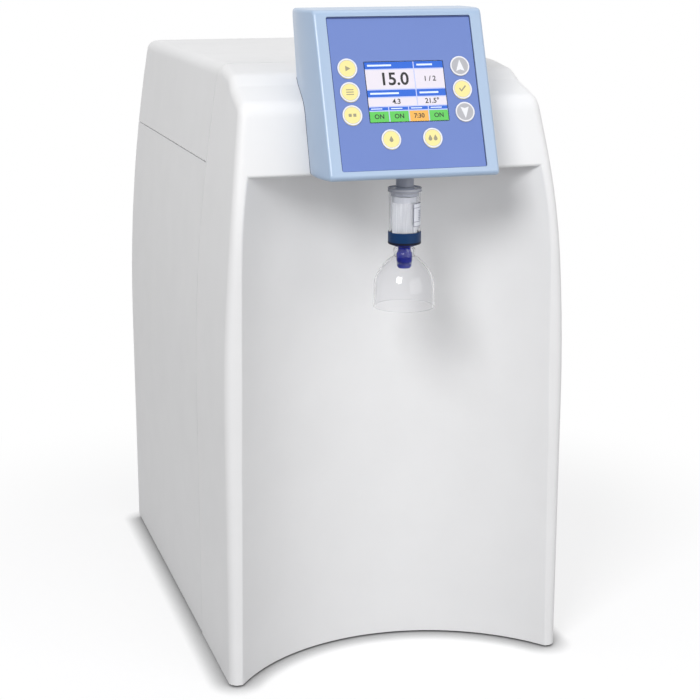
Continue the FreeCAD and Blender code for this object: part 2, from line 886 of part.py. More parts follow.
def console_housing():
    """The blue moulding: a tilted frame with barrel sides, seated over the shelf and riser."""
    top_ahead = d.console_face_height * sine(d.console_tilt) - d.console_ahead
    top = console_low + d.console_face_height * cosine(d.console_tilt)
    profile = new_body("ConsoleProfile")
    outline = new_sketch(profile, "YZ_Plane", "ConsoleOutline")
    loop(outline, [
        (-d.console_ahead, console_low, d.console_low_radius),
        (top_ahead, top, d.console_top_radius),
        (d.console_back, top, d.console_top_radius),
        (d.console_back, console_low),
    ])
    barrels = []
    for name, distance in (("Barrel", 0), ("BarrelInside", d.console_wall)):
        body = new_body("Console" + name)
        sketch = new_sketch(body, "XZ_Plane", f"Console{name}Outline", d.overrun)
        loop(sketch, [
            (-half_face + distance, d.overrun),
            (-half_face + distance, 0),
            (-d.console_bulge_width / 2 + distance, -d.console_bulge_behind, d.console_bulge_radius),
            (-d.console_rear_width / 2 + distance, -d.console_rear_behind),
            (-d.console_rear_width / 2 + distance, -d.console_rear_behind - d.console_back),
            (d.console_rear_width / 2 - distance, -d.console_rear_behind - d.console_back),
            (d.console_rear_width / 2 - distance, -d.console_rear_behind),
            (d.console_bulge_width / 2 - distance, -d.console_bulge_behind, d.console_bulge_radius),
            (half_face - distance, 0),
            (half_face - distance, d.overrun),
        ])
        pad(body, sketch, 2 * d.console_face_height + d.overrun, down=True)
        barrels.append(on_console(body, 0, -d.console_back))
    block = console_form("ConsoleForm", outline, barrels[0])
    block.Refine = True
    soft = rounded("ConsoleSoft", block, d.console_edge_radius, lambda point: (
        abs(point.x) > half_face.value * 0.9))
    inside = console_form("ConsoleInside", inset("ConsoleInset", outline, d.console_wall), barrels[1])
    shell = cut("ConsoleShell", soft, inside)
    recess = plate("OverlayRecess", about(d.overlay_width + 2 * d.fit_gap, d.overlay_height + 2 * d.fit_gap,
                                          overlay_mid, d.overlay_corner + d.fit_gap), floor_level, d.overrun)
    window = plate("DisplayOpening", about(d.screen_width, d.screen_height, screen_mid, d.screen_corner),
                   -d.console_wall - d.overrun, d.overrun)
    stems = []
    for name, (across, up) in keys.items():
        stems.append(console_pin("StemHole_" + name, d.key_stem_radius + d.key_gap, across,
                                 up + d.overlay_low, -2 * d.console_wall, 0))
    stub_hole = rod("StubHole", d.stub_radius + d.fit_gap, d.overrun, 0, -d.outlet_ahead,
                    console_low - d.overrun / 2)
    opened = cut("ConsoleOpened", shell, seat, recess, window, stub_hole, *stems)
    bosses = []
    for number, (across, up) in enumerate(board_corners()):
        bosses.append(console_pin(f"BoardBoss{number}", d.board_boss_radius, across, up, board_front,
                                  floor_level - d.overlay_recess / 2))
    return piece("console_housing", fuse("ConsoleHousing", opened, *bosses))


def board_corners():
    """The four places where the key board is fixed, under the overlay's corners."""
    reach_across = d.overlay_width / 2 - d.board_boss_inset
    low = d.overlay_low + d.board_boss_inset + d.board_margin
    high = d.overlay_low + d.overlay_height - d.board_boss_inset - d.board_margin
    return [(across, up) for across in (-reach_across, reach_across) for up in (low, high)]


def console_pin(name, radius, across, up, low, high):
    """A round pin or hole square to the console's face, between two levels."""
    body = new_body(name)
    sketch = new_sketch(body, "XY_Plane", name + "Outline", low)
    ring(sketch, across, up, radius)
    pad(body, sketch, high - low)
    return on_console(body)


def overlay_panel():
    """The darker front panel, with a hole for each key and for the window."""
    holes = [(across, up + d.overlay_low, d.key_radius + d.key_gap) for across, up in keys.values()]
    window = about(d.screen_width, d.screen_height, screen_mid, d.screen_corner)
    panel = plate("OverlayPanel", about(d.overlay_width, d.overlay_height, overlay_mid, d.overlay_corner),
                  floor_level, floor_level + d.overlay_sheet, [window, *holes])
    return piece("overlay_panel", panel)


def screen():
    """The window in the overlay, and the display that stands behind it in the housing's opening."""
    slack = 2 * d.key_gap
    clear = plate("ScreenWindow", about(d.screen_width - slack, d.screen_height - slack, screen_mid, d.screen_corner),
                  floor_level, floor_level + d.window_sheet)
    piece("screen_window", clear)
    body = plate("DisplayModule", about(d.display_width, d.display_height, screen_mid, d.screen_corner),
                 board_front, -d.console_wall - d.key_gap / 2)
    step = new_sketch(body, "XY_Plane", "DisplayFaceOutline", -d.console_wall - d.key_gap)
    slack = 2 * d.display_boss_margin
    loop(step, about(d.screen_width - slack, d.screen_height - slack, screen_mid, d.screen_corner))
    pad(body, step, d.console_wall + d.key_gap + floor_level - d.key_gap / 4)
    piece("display_module", body)


def key(name, across, up):
    """A key: a domed cap in the overlay's hole, on a stem through the housing."""
    body = turned(name + "_body", [
        (0, key_foot - d.key_stem_length),
        (d.key_stem_radius, key_foot - d.key_stem_length),
        (d.key_stem_radius, key_foot),
        (d.key_radius, key_foot),
        (d.key_radius, key_foot + d.key_cap - d.key_dome),
        (d.key_radius * 0.93, key_foot + d.key_cap, d.key_dome),
        (0, key_foot + d.key_cap),
    ])
    return piece(name, on_console(body, across, up + d.overlay_low))


def key_board():
    """The board behind the keys with a switch for each of them, and its screws."""
    corners = about(d.overlay_width - 2 * d.board_margin, d.overlay_height - 2 * d.board_margin,
                    overlay_mid, d.overlay_corner)
    holes = [(across, up, d.screw_radius * 0.8) for across, up in board_corners()]
    parts = [plate("KeyBoard", corners, board_front - d.board_sheet, board_front, holes)]
    for number, (across, up) in enumerate(keys.values()):
        body = new_body(f"Switch{number}")
        sketch = new_sketch(body, "XY_Plane", f"Switch{number}Outline")
        half = d.switch_side / 2
        loop(sketch, rectangle(-half, -half, half, half, d.switch_side / 8))
        pad(body, sketch, d.switch_height * 0.7)
        plunger = new_sketch(body, "XY_Plane", f"Switch{number}Plunger")
        ring(plunger, 0, 0, d.switch_plunger)
        pad(body, plunger, d.switch_height)
        parts.append(on_console(body, across, up + d.overlay_low, board_front))
    for number, (across, up) in enumerate(board_corners()):
        screw = turned(f"BoardScrew{number}", [
            (0, 0), (d.screw_head_radius * 0.8, 0, d.screw_head / 3), (d.screw_head_radius * 0.8, d.screw_head),
            (0, d.screw_head)])
        screws.append(on_console(screw, across, up, board_front - d.board_sheet - d.screw_head))
    piece("key_board", group("KeyBoardParts", *parts))


# Outlet and final filter, all about one upright axis

def outlet_stub():
    """The outlet: a flanged stub through the console's floor, with a spigot for the filter."""
    stub_low = -d.stub_drop
    flange_foot = d.console_wall
    return piece("outlet_stub", turned("OutletStub", [
        (d.water_bore, stub_low - d.spigot_length),
        (d.spigot_radius, stub_low - d.spigot_length),
        (d.spigot_radius, stub_low),
        (d.stub_radius, stub_low),
        (d.stub_radius, flange_foot),
        (d.stub_flange_radius, flange_foot),
        (d.stub_flange_radius, flange_foot + d.stub_flange),
        (d.spigot_radius, flange_foot + d.stub_flange),
        (d.spigot_radius, flange_foot + d.stub_barb),
        (d.water_bore, flange_foot + d.stub_barb),
    ], 0, -d.outlet_ahead, console_low))


filter_top = console_low - d.stub_drop - d.fit_gap
capsule_top = filter_top - d.cap_dome - d.cap_rim
collar_top = capsule_top - d.capsule_seen
collar_foot = collar_top - d.collar_height
fibre_foot = collar_foot + d.collar_floor
bell_top = collar_foot - d.collar_cone - d.bell_neck_gap


def final_filter():
    """The final filter: cap, clear capsule, fibre bundle, collar and nozzle."""
    socket = d.spigot_radius + d.spigot_gap
    plug = d.capsule_radius - d.capsule_wall - d.spigot_gap
    floor = d.cap_dome + d.cap_rim + d.cap_plug
    piece("filter_cap", turned("FilterCap", [
        (d.water_bore, -floor),
        (plug, -floor),
        (plug, -d.cap_dome - d.cap_rim),
        (d.cap_radius, -d.cap_dome - d.cap_rim, d.cap_rim / 4),
        (d.cap_radius, -d.cap_dome, d.cap_rim / 3),
        (d.stub_radius + d.cap_rim, -d.cap_rim / 4),
        (d.stub_radius, 0),
        (socket, 0),
        (socket, -d.spigot_length - d.fit_gap),
        (d.water_bore, -d.spigot_length - d.fit_gap),
    ], 0, -d.outlet_ahead, filter_top))
    piece("filter_capsule", turned("FilterCapsule", rectangle(
        d.capsule_radius - d.capsule_wall, 0, d.capsule_radius, capsule_top - fibre_foot),
        0, -d.outlet_ahead, fibre_foot))
    bundle = turned("FibreBundle", [
        (0, 0),
        (d.fibre_radius, 0),
        (d.fibre_radius, d.fibre_potting),
        (d.fibre_core_radius, d.fibre_potting),
        (d.fibre_core_radius, d.fibre_length - d.fibre_potting / 2, d.fibre_potting / 3),
        (0, d.fibre_length - d.fibre_potting / 3),
    ], 0, -d.outlet_ahead, fibre_foot)
    strand_foot = new_sketch(bundle, "XY_Plane", "StrandFoot")
    ring(strand_foot, d.fibre_core_radius, 0, d.fibre_strand_radius)
    polar(bundle, pad(bundle, strand_foot, d.fibre_length - d.fibre_potting / 2), d.fibre_strands)
    piece("fibre_bundle", bundle)
    piece("filter_collar", turned("FilterCollar", [
        (d.water_bore, 0),
        (d.collar_radius, 0, d.collar_floor / 2),
        (d.collar_radius, d.collar_height, d.collar_floor / 4),
        (d.capsule_radius + d.spigot_gap, d.collar_height),
        (d.capsule_radius + d.spigot_gap, d.collar_floor),
        (d.water_bore, d.collar_floor),
    ], 0, -d.outlet_ahead, collar_foot))
    ring_level = -d.nozzle_length + d.nozzle_ring + d.nozzle_edge_radius
    piece("filter_nozzle", turned("FilterNozzle", [
        (d.water_bore, -d.nozzle_length),
        (d.nozzle_end_radius, -d.nozzle_length),
        (d.nozzle_end_radius, ring_level - d.nozzle_ring),
        (d.nozzle_ring_radius, ring_level - d.nozzle_ring),
        (d.nozzle_ring_radius, ring_level),
        (d.nozzle_end_radius, ring_level + d.nozzle_edge_radius / 2),
        (d.nozzle_end_radius, -d.nozzle_bulb_low - d.nozzle_edge_radius),
        (d.nozzle_bulb_radius, -d.nozzle_bulb_low, d.nozzle_edge_radius),
        (d.nozzle_bulb_radius, -d.nozzle_bulb_top),
        (d.nozzle_waist_radius, -d.nozzle_bulb_top + d.nozzle_edge_radius),
        (d.nozzle_waist_radius, -d.collar_cone),
        (d.nozzle_shoulder_radius, -d.nozzle_edge_radius / 2),
        (d.nozzle_shoulder_radius, 0),
        (d.water_bore, 0),
    ], 0, -d.outlet_ahead, collar_foot))


def filling_bell():
    """The clear bell that grips the nozzle's bulb."""
    grip = d.nozzle_bulb_radius + d.bell_grip_gap
    shoulder = d.bell_neck_height + d.bell_shoulder_height
    bend = d.bell_neck_height / 3
    return piece("filling_bell", turned("FillingBell", [
        (grip, 0),
        (d.bell_neck_radius, 0, d.bell_wall / 2),
        (d.bell_neck_radius, -d.bell_neck_height, bend),
        (d.bell_radius, -shoulder, 2 * bend),
        (d.bell_rim_radius, -d.bell_height),
        (d.bell_rim_radius - d.bell_wall, -d.bell_height),
        (d.bell_radius - d.bell_wall, -shoulder, 2 * bend - d.bell_wall),
        (grip, -d.bell_neck_height - d.bell_wall),
    ], 0, -d.outlet_ahead, bell_top))


# Chassis

def base_tray():
    """The floor sheet behind the bay wall, with a lip turned up at the back, and its four feet."""
    sheet_space = box("TraySpace", all_across, (0, d.cabinet_depth), (d.foot_height, tray_top))
    floor = cut("TrayFloor", common("TraySheet", fitting, sheet_space), bay("TrayBay", d.wall + d.fit_gap))
    lip_edge = hinge_side - d.tray_corner
    lip = box("TrayLip", (-lip_edge, lip_edge), (panel_front - d.sheet, panel_front),
              (d.foot_height, tray_top + d.tray_lip))
    holes = []
    for side, number in ((-1, 0), (1, 1)):
        holes.append(rod(f"TrayPinHole{number}", d.pin_radius, d.foot_height + d.overrun,
                         side * hinge_side, hinge_back, 0))
        ends = sorted((side * (half_width - d.tray_corner), side * half_width), key=lambda size: size.value)
        holes.append(box(f"TrayNotch{number}", ends, (hinge_back, d.cabinet_depth),
                         (0, tray_top + d.tray_lip)))
    piece("base_tray", cut("BaseTray", fuse("TrayBody", floor, lip), *holes))
    feet = []
    for side in (-1, 1):
        for inset_across, along in ((d.foot_front_inset, d.foot_front),
                                    (d.foot_rear_inset, d.cabinet_depth - d.foot_rear_inset)):
            feet.append(turned(f"Foot{len(feet)}", [
                (d.foot_screw_radius, d.foot_recess),
                (d.foot_screw_radius, 0),
                (d.foot_radius - d.foot_taper, 0, d.foot_edge / 2),
                (d.foot_radius, d.foot_height),
                (0, d.foot_height),
                (0, d.foot_recess),
            ], side * (half_width - inset_across), along))
    piece("feet", group("Feet", *feet))


panel_front = d.cabinet_depth - d.wall
panel_edge = half_width - d.panel_side_inset
inlet_side = half_width - d.inlet_inset
hinge_back = d.cabinet_depth - d.hinge_ahead
inlet_mid = d.inlet_low + d.inlet_height / 2


def bulkhead():
    """The cross wall behind the bay, with a flange turned back at each door."""
    back = d.seam_back - d.bulkhead_ahead + d.sheet
    wall_space = box("BulkheadSpace", all_across, (back - d.sheet, back), (tray_top, deck_low))
    flanges = []
    for side, number in ((-1, 0), (1, 1)):
        ends = sorted((side * catch_edge, side * (catch_edge - d.sheet)), key=lambda size: size.value)
        flanges.append(box(f"BulkheadFlange{number}", ends, (back, back + d.bulkhead_flange),
                           (tray_top, deck_low)))
    opening = rod("BulkheadPort", d.console_port_radius, d.cabinet_depth, 0, 0, deck_low - d.bulkhead_port_drop,
                  "y")
    return piece("bulkhead", cut("Bulkhead", fuse(
        "BulkheadBody", common("BulkheadWall", fitting, wall_space), *flanges), opening))


def centre_divider():
    """The wall between the cartridges and the rest, with holes for the tubes."""
    front = d.seam_back - d.bulkhead_ahead + d.sheet
    body = new_body("CentreDivider")
    sketch = new_sketch(body, "YZ_Plane", "DividerOutline", -d.divider_left)
    back = panel_front - d.sheet
    loop(sketch, rectangle(front, tray_top, back, deck_low))
    for along, up in tube_crossings():
        ring(sketch, along, up, d.tube_radius + d.sheet)
    pad(body, sketch, d.sheet)
    for number, level in enumerate((tray_top, deck_low - d.sheet)):
        flange = new_sketch(body, "XY_Plane", f"DividerFlange{number}", level)
        loop(flange, rectangle(-d.divider_left - d.divider_flange, front, -d.divider_left + d.sheet, back))
        pad(body, flange, d.sheet)
    return piece("centre_divider", body)


def top_deck():
    """The sheet that carries the hood and the upper door pins."""
    space = box("DeckSpace", all_across, (d.deck_front, d.cabinet_depth), (deck_low, deck_low + d.sheet))
    holes = []
    for side, number in ((-1, 0), (1, 1)):
        holes.append(rod(f"DeckPinHole{number}", d.pin_radius, d.foot_height + d.overrun,
                         side * hinge_side, hinge_back, deck_low - d.foot_height))
    tube_hole = rod("DeckTubeHole", d.tube_radius + d.sheet, d.overrun, filter_side,
                    filter_back, deck_low - d.foot_height)
    return piece("top_deck", cut("TopDeck", common("DeckSheet", fitting, space), tube_hole, *holes))


def door_pins():
    """Four headed pins: two up from the tray and two down from the deck."""
    pins = []
    low_length = d.sheet + d.door_flange_lift + d.wall + d.pin_length
    outline = [
        (0, 0), (d.pin_head_radius, 0), (d.pin_head_radius, d.pin_head), (d.pin_radius - d.pin_gap / 2, d.pin_head),
        (d.pin_radius - d.pin_gap / 2, d.pin_head + low_length, d.pin_radius / 4), (0, d.pin_head + low_length)]
    for side in (-1, 1):
        pins.append(turned(f"DoorPin{len(pins)}", outline, side * hinge_side, hinge_back,
                           d.foot_height - d.pin_head))
        pins.append(turned(f"DoorPin{len(pins)}", outline, side * hinge_side, hinge_back,
                           deck_low + d.sheet + d.pin_head, Vector(1, 0, 0), 180))
    return piece("door_pins", group("DoorPins", *pins))


def magnet_catches():
    """Four magnets on the bulkhead's flanges, and the strike plates that meet them on each door."""
    back = d.seam_back - d.bulkhead_ahead + d.sheet
    catches = []
    strikes = {-1: [], 1: []}
    for side in (-1, 1):
        for low in (d.catch_low, deck_low - d.catch_drop):
            body = new_body(f"Catch{len(catches)}")
            sketch = new_sketch(body, "XZ_Plane", f"Catch{len(catches)}Outline")
            reach = d.catch_width - d.fit_gap
            loop(sketch, rectangle(0, 0, reach, d.catch_height, d.catch_edge))
            pad(body, sketch, d.catch_depth)
            place(body, catch_edge if side > 0 else -catch_edge - reach, back + d.sheet + d.catch_depth, low)
            catches.append(body)
            strike = new_body(f"Strike{len(catches)}")
            outline = new_sketch(strike, "XY_Plane", f"Strike{len(catches)}Outline")
            flange_back = d.seam_back + d.seam_gap + d.wall
            inside = door_flange_edge
            corners = [
                (inside, flange_back),
                (inside + d.strike_width, flange_back),
                (inside + d.strike_width, flange_back + d.strike_sheet),
                (inside + d.strike_sheet, flange_back + d.strike_sheet),
                (inside + d.strike_sheet, flange_back + d.catch_depth - d.wall),
                (inside, flange_back + d.catch_depth - d.wall),
            ]
            loop(outline, [(side * across, along) for across, along in corners])
            pad(strike, outline, d.catch_height)
            strikes[side].append(place(strike, 0, 0, low))
    piece("magnet_catches", group("MagnetCatches", *catches))
    piece("left_strikes", group("LeftStrikes", *strikes[-1]))
    piece("right_strikes", group("RightStrikes", *strikes[1]))


def back_panel():
    """The rear sheet between the doors, with vents, openings and its screws."""
    body = new_body("BackPanel")
    sketch = new_sketch(body, "XZ_Plane", "BackOutline", -(panel_front + d.sheet))
    notch = panel_edge - hinge_side + d.tray_corner + d.panel_inset
    low = tray_top
    high = seam_height - d.seam_gap / 2
    step_low = d.panel_low
    step_high = high - d.wall - d.sheet / 2
    loop(sketch, [
        (-panel_edge + notch, low), (panel_edge - notch, low), (panel_edge - notch, step_low),
        (panel_edge, step_low, d.panel_corner), (panel_edge, step_high, d.panel_corner),
        (panel_edge - notch, step_high), (panel_edge - notch, high), (-panel_edge + notch, high),
        (-panel_edge + notch, step_high), (-panel_edge, step_high, d.panel_corner),
        (-panel_edge, step_low, d.panel_corner), (-panel_edge + notch, step_low),
    ])
    loop(sketch, rectangle(inlet_side - d.inlet_body_width / 2 - d.fit_gap, inlet_mid - d.inlet_body_height / 2
                           - d.fit_gap, inlet_side + d.inlet_body_width / 2 + d.fit_gap,
                           inlet_mid + d.inlet_body_height / 2 + d.fit_gap))
    for across in union_places():
        ring(sketch, across, d.union_height, d.union_thread_radius + d.fit_gap)
    pad(body, sketch, d.sheet)
    for side, name in ((-1, "VentLeft"), (1, "VentRight")):
        vent = new_sketch(body, "XZ_Plane", name, -(panel_front + d.sheet))
        start = side * d.vent_side - d.vent_width / 2
        low = seam_height - d.vent_drop
        loop(vent, rectangle(start, low, start + d.vent_width, low + d.vent_slot, d.vent_slot * 0.45))
        slot = pocket(body, vent, 2 * d.sheet, both=True)
        document.recompute()
        rows = body.newObject("PartDesign::LinearPattern", name + "Rows")
        rows.Originals = [slot]
        rows.Direction = (next(item for item in body.Origin.OriginFeatures if item.Role == "Z_Axis"), [""])
        bind(rows, "Length", d.vent_pitch * (d.vent_count - 1))
        bind(rows, "Occurrences", d.vent_count)
        body.Tip = rows
    piece("back_panel", body)
    for across in (-panel_edge + d.screw_inset, panel_edge - d.screw_inset):
        for up in (step_low + d.screw_rise, (step_low + step_high) / 2, step_high - d.screw_rise):
            screws.append(turned(f"PanelScrew{len(screws)}", [
                (0, 0), (d.screw_head_radius, 0), (d.screw_head_radius, d.screw_head, d.screw_head / 2),
                (d.screw_radius, d.screw_head), (d.screw_radius, d.screw_head - d.sheet / 4), (0, d.screw_head / 2),
            ], across, panel_front + d.sheet, up, Vector(1, 0, 0), -90))


def union_places():
    """The drain's union near the door, and the feed's union in line with the regulator."""
    return [d.union_inset - half_width, regulator_side]


# Water parts inside

room_low = d.divider_left + d.cartridge_gap_in
room_high = door_flange_edge - d.cartridge_gap_out
cartridge_side = (room_low + room_high) / 2
cartridge_radius = least(room_high - room_low, d.cartridge_pitch - d.cartridge_gap_along) / 2
cartridge_length = deck_low - d.cartridge_low - d.cartridge_headroom
neck_radius = cartridge_radius * 0.55
head_half = cartridge_radius - d.head_inset
port_spread = head_half / 2
head_foot = d.cartridge_low + cartridge_length - d.cartridge_neck + d.head_gap
head_top = head_foot + d.head_boss + d.head_height
bulkhead_back = d.seam_back - d.bulkhead_ahead + d.sheet
divider_face = -d.divider_left + d.sheet
lamp_room = catch_edge - divider_face
lamp_radius = lamp_room * 0.227
lamp_cap_radius = lamp_radius + d.lamp_cap_rim
lamp_side = divider_face + d.sheet + lamp_cap_radius
lamp_back = bulkhead_back + d.saddle_back + lamp_radius
lamp_length = deck_low - d.lamp_chamber_low - d.lamp_chamber_headroom
filter_radius = lamp_room * 0.179
filter_end_radius = filter_radius + d.filter_end_rim
filter_side = catch_edge - d.sheet - filter_end_radius
filter_back = bulkhead_back + d.saddle_back + filter_radius
filter_length = deck_low - d.filter_module_low - d.filter_module_headroom
rise_link = deck_low - d.tube_drop_link
rise_low = deck_low - d.tube_drop_low
rise_high = deck_low - d.tube_drop_high
regulator_side = -d.divider_left - d.fit_gap - d.regulator_radius


def cartridge_backs():
    return [d.cartridge_first_back + number * d.cartridge_pitch for number in range(3)]


def cartridges():
    """Three cartridges hanging in their heads, each with grip ribs round its foot."""
    names = ("cartridge_front", "cartridge_middle", "cartridge_rear")
    shoulder = cartridge_length - d.cartridge_neck
    for name, along in zip(names, cartridge_backs()):
        body = turned(name + "_body", [
            (0, 0),
            (cartridge_radius - d.cartridge_grip_radius, 0, d.cartridge_dome),
            (cartridge_radius - d.cartridge_grip_radius, d.cartridge_grip_height),
            (cartridge_radius, d.cartridge_grip_height + d.cartridge_grip_radius),
            (cartridge_radius, shoulder - d.cartridge_shoulder, d.cartridge_shoulder / 2),
            (neck_radius, shoulder),
            (neck_radius, cartridge_length),
            (0, cartridge_length),
        ], -cartridge_side, along, d.cartridge_low)
        rib = new_sketch(body, "XY_Plane", name + "Grip", d.cartridge_dome)
        ring(rib, cartridge_radius - d.cartridge_grip_radius, 0, d.cartridge_grip_radius * 0.8)
        polar(body, pad(body, rib, d.cartridge_grip_height - d.cartridge_dome), d.cartridge_grips)
        piece(name, body)


def cartridge_heads():
    """The three heads under their bracket, each with a socket for a neck and two ports on top."""
    heads = []
    half = head_half
    for number, along in enumerate(cartridge_backs()):
        body = new_body(f"Head{number}")
        outline = new_sketch(body, "XY_Plane", f"Head{number}Outline", d.head_boss)
        loop(outline, rectangle(-half, -half, half, half, d.head_corner))
        pad(body, outline, d.head_height)
        boss = new_sketch(body, "XY_Plane", f"Head{number}Boss")
        ring(boss, 0, 0, (neck_radius + d.head_boss_wall))
        pad(body, boss, d.head_boss)
        ports = new_sketch(body, "XY_Plane", f"Head{number}Ports", d.head_boss + d.head_height)
        for side in (-1, 1):
            ring(ports, 0, side * port_spread, d.head_port_radius)
        pad(body, ports, d.head_port)
        socket = new_sketch(body, "XY_Plane", f"Head{number}Socket")
        ring(socket, 0, 0, neck_radius + d.head_gap)
        pocket(body, socket, d.cartridge_neck, up=True)
        heads.append(place(body, -cartridge_side, along, head_foot))
    piece("cartridge_heads", group("CartridgeHeads", *heads))
    bracket = new_body("HeadBracket")
    sheet_outline = new_sketch(bracket, "XY_Plane", "BracketOutline")
    left = d.sheet - catch_edge
    loop(sheet_outline, rectangle(left, bulkhead_back, -d.divider_left,
                                  cartridge_backs()[2] + half + d.bracket_lip))
    for along in cartridge_backs():
        for side in (-1, 1):
            ring(sheet_outline, -cartridge_side, along + side * port_spread, d.head_port_radius + d.fit_gap)
    pad(bracket, sheet_outline, d.sheet)
    lip = new_sketch(bracket, "XY_Plane", "BracketLip")
    loop(lip, rectangle(left, bulkhead_back, left + d.sheet, cartridge_backs()[2] + half + d.bracket_lip))
    pad(bracket, lip, d.bracket_lip + d.sheet)
    foot = new_sketch(bracket, "XY_Plane", "BracketFoot")
    loop(foot, rectangle(-d.divider_left - d.sheet, bulkhead_back, -d.divider_left,
                         cartridge_backs()[2] + half + d.bracket_lip))
    pad(bracket, foot, d.bracket_lip + d.sheet)
    piece("head_bracket", place(bracket, 0, 0, head_top))


def lamp_chamber():
    """The steel ultraviolet chamber with its two ports, and the caps that hold the lamp."""
    body = turned("LampChamber", [
        (0, 0), (lamp_radius, 0), (lamp_radius, lamp_length),
        (0, lamp_length)], lamp_side, lamp_back, d.lamp_chamber_low)
    ports = new_sketch(body, "XZ_Plane", "LampPorts", -lamp_radius - d.lamp_port)
    for up in (d.lamp_port_inset, lamp_length - d.lamp_port_inset):
        ring(ports, 0, up, d.lamp_port_radius)
    pad(body, ports, d.lamp_port + lamp_radius / 2)
    piece("lamp_chamber", body)
    caps = []
    for level, turn, angle in ((d.lamp_chamber_low, Vector(1, 0, 0), 180),
                               (d.lamp_chamber_low + lamp_length, None, None)):
        caps.append(turned(f"LampCap{len(caps)}", [
            (0, 0), (lamp_cap_radius, 0), (lamp_cap_radius, d.lamp_cap / 2, d.lamp_cap / 8),
            (lamp_cap_radius / 2, d.lamp_cap / 2), (lamp_cap_radius / 2, d.lamp_cap, d.lamp_cap / 8),
            (0, d.lamp_cap)], lamp_side, lamp_back, level, turn, angle))
    piece("lamp_caps", group("LampCaps", *caps))


def ultrafilter():
    """The ultrafilter: a slim housing between two wider end caps, with the measuring cell on top."""
    seat = d.filter_end / 4
    length = filter_length
    piece("ultrafilter_housing", turned("UltrafilterHousing", rectangle(
        0, 0, filter_radius, length - 2 * seat), filter_side, filter_back,
        d.filter_module_low + seat))
    ends = []
    for level, turn, angle in ((d.filter_module_low, None, None),
                               (d.filter_module_low + length, Vector(1, 0, 0), 180)):
        ends.append(turned(f"UltrafilterEnd{len(ends)}", [
            (0, 0), (filter_end_radius - d.filter_end / 3, 0), (filter_end_radius, d.filter_end / 3),
            (filter_end_radius, d.filter_end), (filter_radius, d.filter_end),
            (filter_radius, seat), (0, seat)],
            filter_side, filter_back, level, turn, angle))
    piece("ultrafilter_ends", group("UltrafilterEnds", *ends))
    hex_low = (d.cell_length - d.cell_hex) / 2
    piece("measuring_cell", turned("MeasuringCell", [
        (0, 0), (d.cell_radius, 0), (d.cell_radius, hex_low), (d.cell_hex_radius, hex_low),
        (d.cell_hex_radius, hex_low + d.cell_hex), (d.cell_radius, hex_low + d.cell_hex),
        (d.cell_radius, d.cell_length), (0, d.cell_length)],
        filter_side, filter_back, d.filter_module_low + length))


# Where the saddles stand, as shares of the ultrafilter's length
SADDLE_SHARES = (0.24, 0.7)


def saddles():
    """Four saddles on the bulkhead that hold the chamber and the ultrafilter."""
    blocks = []
    for across, back, radius in ((lamp_side, lamp_back, lamp_radius),
                                 (filter_side, filter_back, filter_radius)):
        for share in SADDLE_SHARES:
            body = new_body(f"Saddle{len(blocks)}")
            sketch = new_sketch(body, "XY_Plane", f"Saddle{len(blocks)}Outline")
            reach = radius * 0.7
            loop(sketch, rectangle(-reach, -back + bulkhead_back, reach, -radius / 3))
            pad(body, sketch, d.saddle_height)
            hollow = new_sketch(body, "XY_Plane", f"Saddle{len(blocks)}Hollow")
            ring(hollow, 0, 0, radius + d.fit_gap / 3)
            pocket(body, hollow, 2 * d.saddle_height, both=True)
            level = d.filter_module_low + share * filter_length
            blocks.append(place(body, across, back, level))
    piece("tube_saddles", group("TubeSaddles", *blocks))


def pump():
    """The pump: a finned motor on a foot with rubber mounts, and a head with two ports."""
    head_back = d.pump_back + d.pump_head_length
    motor = turned("PumpMotor", [
        (0, 0), (d.pump_motor_radius, 0, d.pump_fin), (d.pump_motor_radius, d.pump_motor_length, d.pump_foot_height / 2),
        (0, d.pump_motor_length)], d.pump_side, head_back, d.pump_height, Vector(1, 0, 0), -90)
    groove = new_sketch(motor, "XY_Plane", "MotorGroove", d.pump_foot_height)
    ring(groove, d.pump_motor_radius, 0, d.pump_fin)
    polar(motor, pocket(motor, groove, d.pump_motor_length - 2 * d.pump_foot_height, up=True), d.pump_fins)
    foot_low = d.pump_height - d.pump_motor_radius - d.pump_foot_height / 2
    foot = box("PumpFoot", (d.pump_side - d.pump_foot_width / 2, d.pump_side + d.pump_foot_width / 2),
               (head_back + d.pump_foot_height, head_back + d.pump_motor_length - d.pump_foot_height),
               (foot_low, foot_low + d.pump_foot_height))
    core = rod("PumpCore", d.pump_motor_radius - d.pump_fin * 2, d.pump_motor_length - d.pump_fin, d.pump_side,
               head_back + d.pump_fin / 2, d.pump_height, "y")
    piece("pump_motor", fuse("PumpMotorBody", motor, foot, core))
    head = turned("PumpHead", [
        (0, 0), (d.pump_head_radius - d.pump_foot_height / 2, 0), (d.pump_head_radius, d.pump_foot_height / 2),
        (d.pump_head_radius, d.pump_head_length), (0, d.pump_head_length)],
        d.pump_side, d.pump_back, d.pump_height, Vector(1, 0, 0), -90)
    inlet = rod("PumpInlet", d.pump_port_radius, d.pump_port + d.pump_port, d.pump_side,
                d.pump_back - d.pump_port, d.pump_height, "y")
    outlet = rod("PumpOutlet", d.pump_port_radius, d.pump_port + d.pump_port, d.pump_side,
                 d.pump_back + d.pump_head_length / 2, d.pump_height + d.pump_head_radius - d.pump_port)
    piece("pump_head", fuse("PumpHeadBody", head, inlet, outlet))
    mounts = []
    for side in (-1, 1):
        for along in (head_back + 2 * d.pump_foot_height,
                      head_back + d.pump_motor_length - 2 * d.pump_foot_height):
            mounts.append(turned(f"PumpMount{len(mounts)}", [
                (0, 0), (d.pump_mount_radius, 0), (d.pump_mount_radius * 0.7, (foot_low - tray_top) / 2),
                (d.pump_mount_radius, foot_low - tray_top), (0, foot_low - tray_top)],
                d.pump_side + side * (d.pump_foot_width / 2 - d.pump_mount_radius), along, tray_top))
    piece("pump_mounts", group("PumpMounts", *mounts))


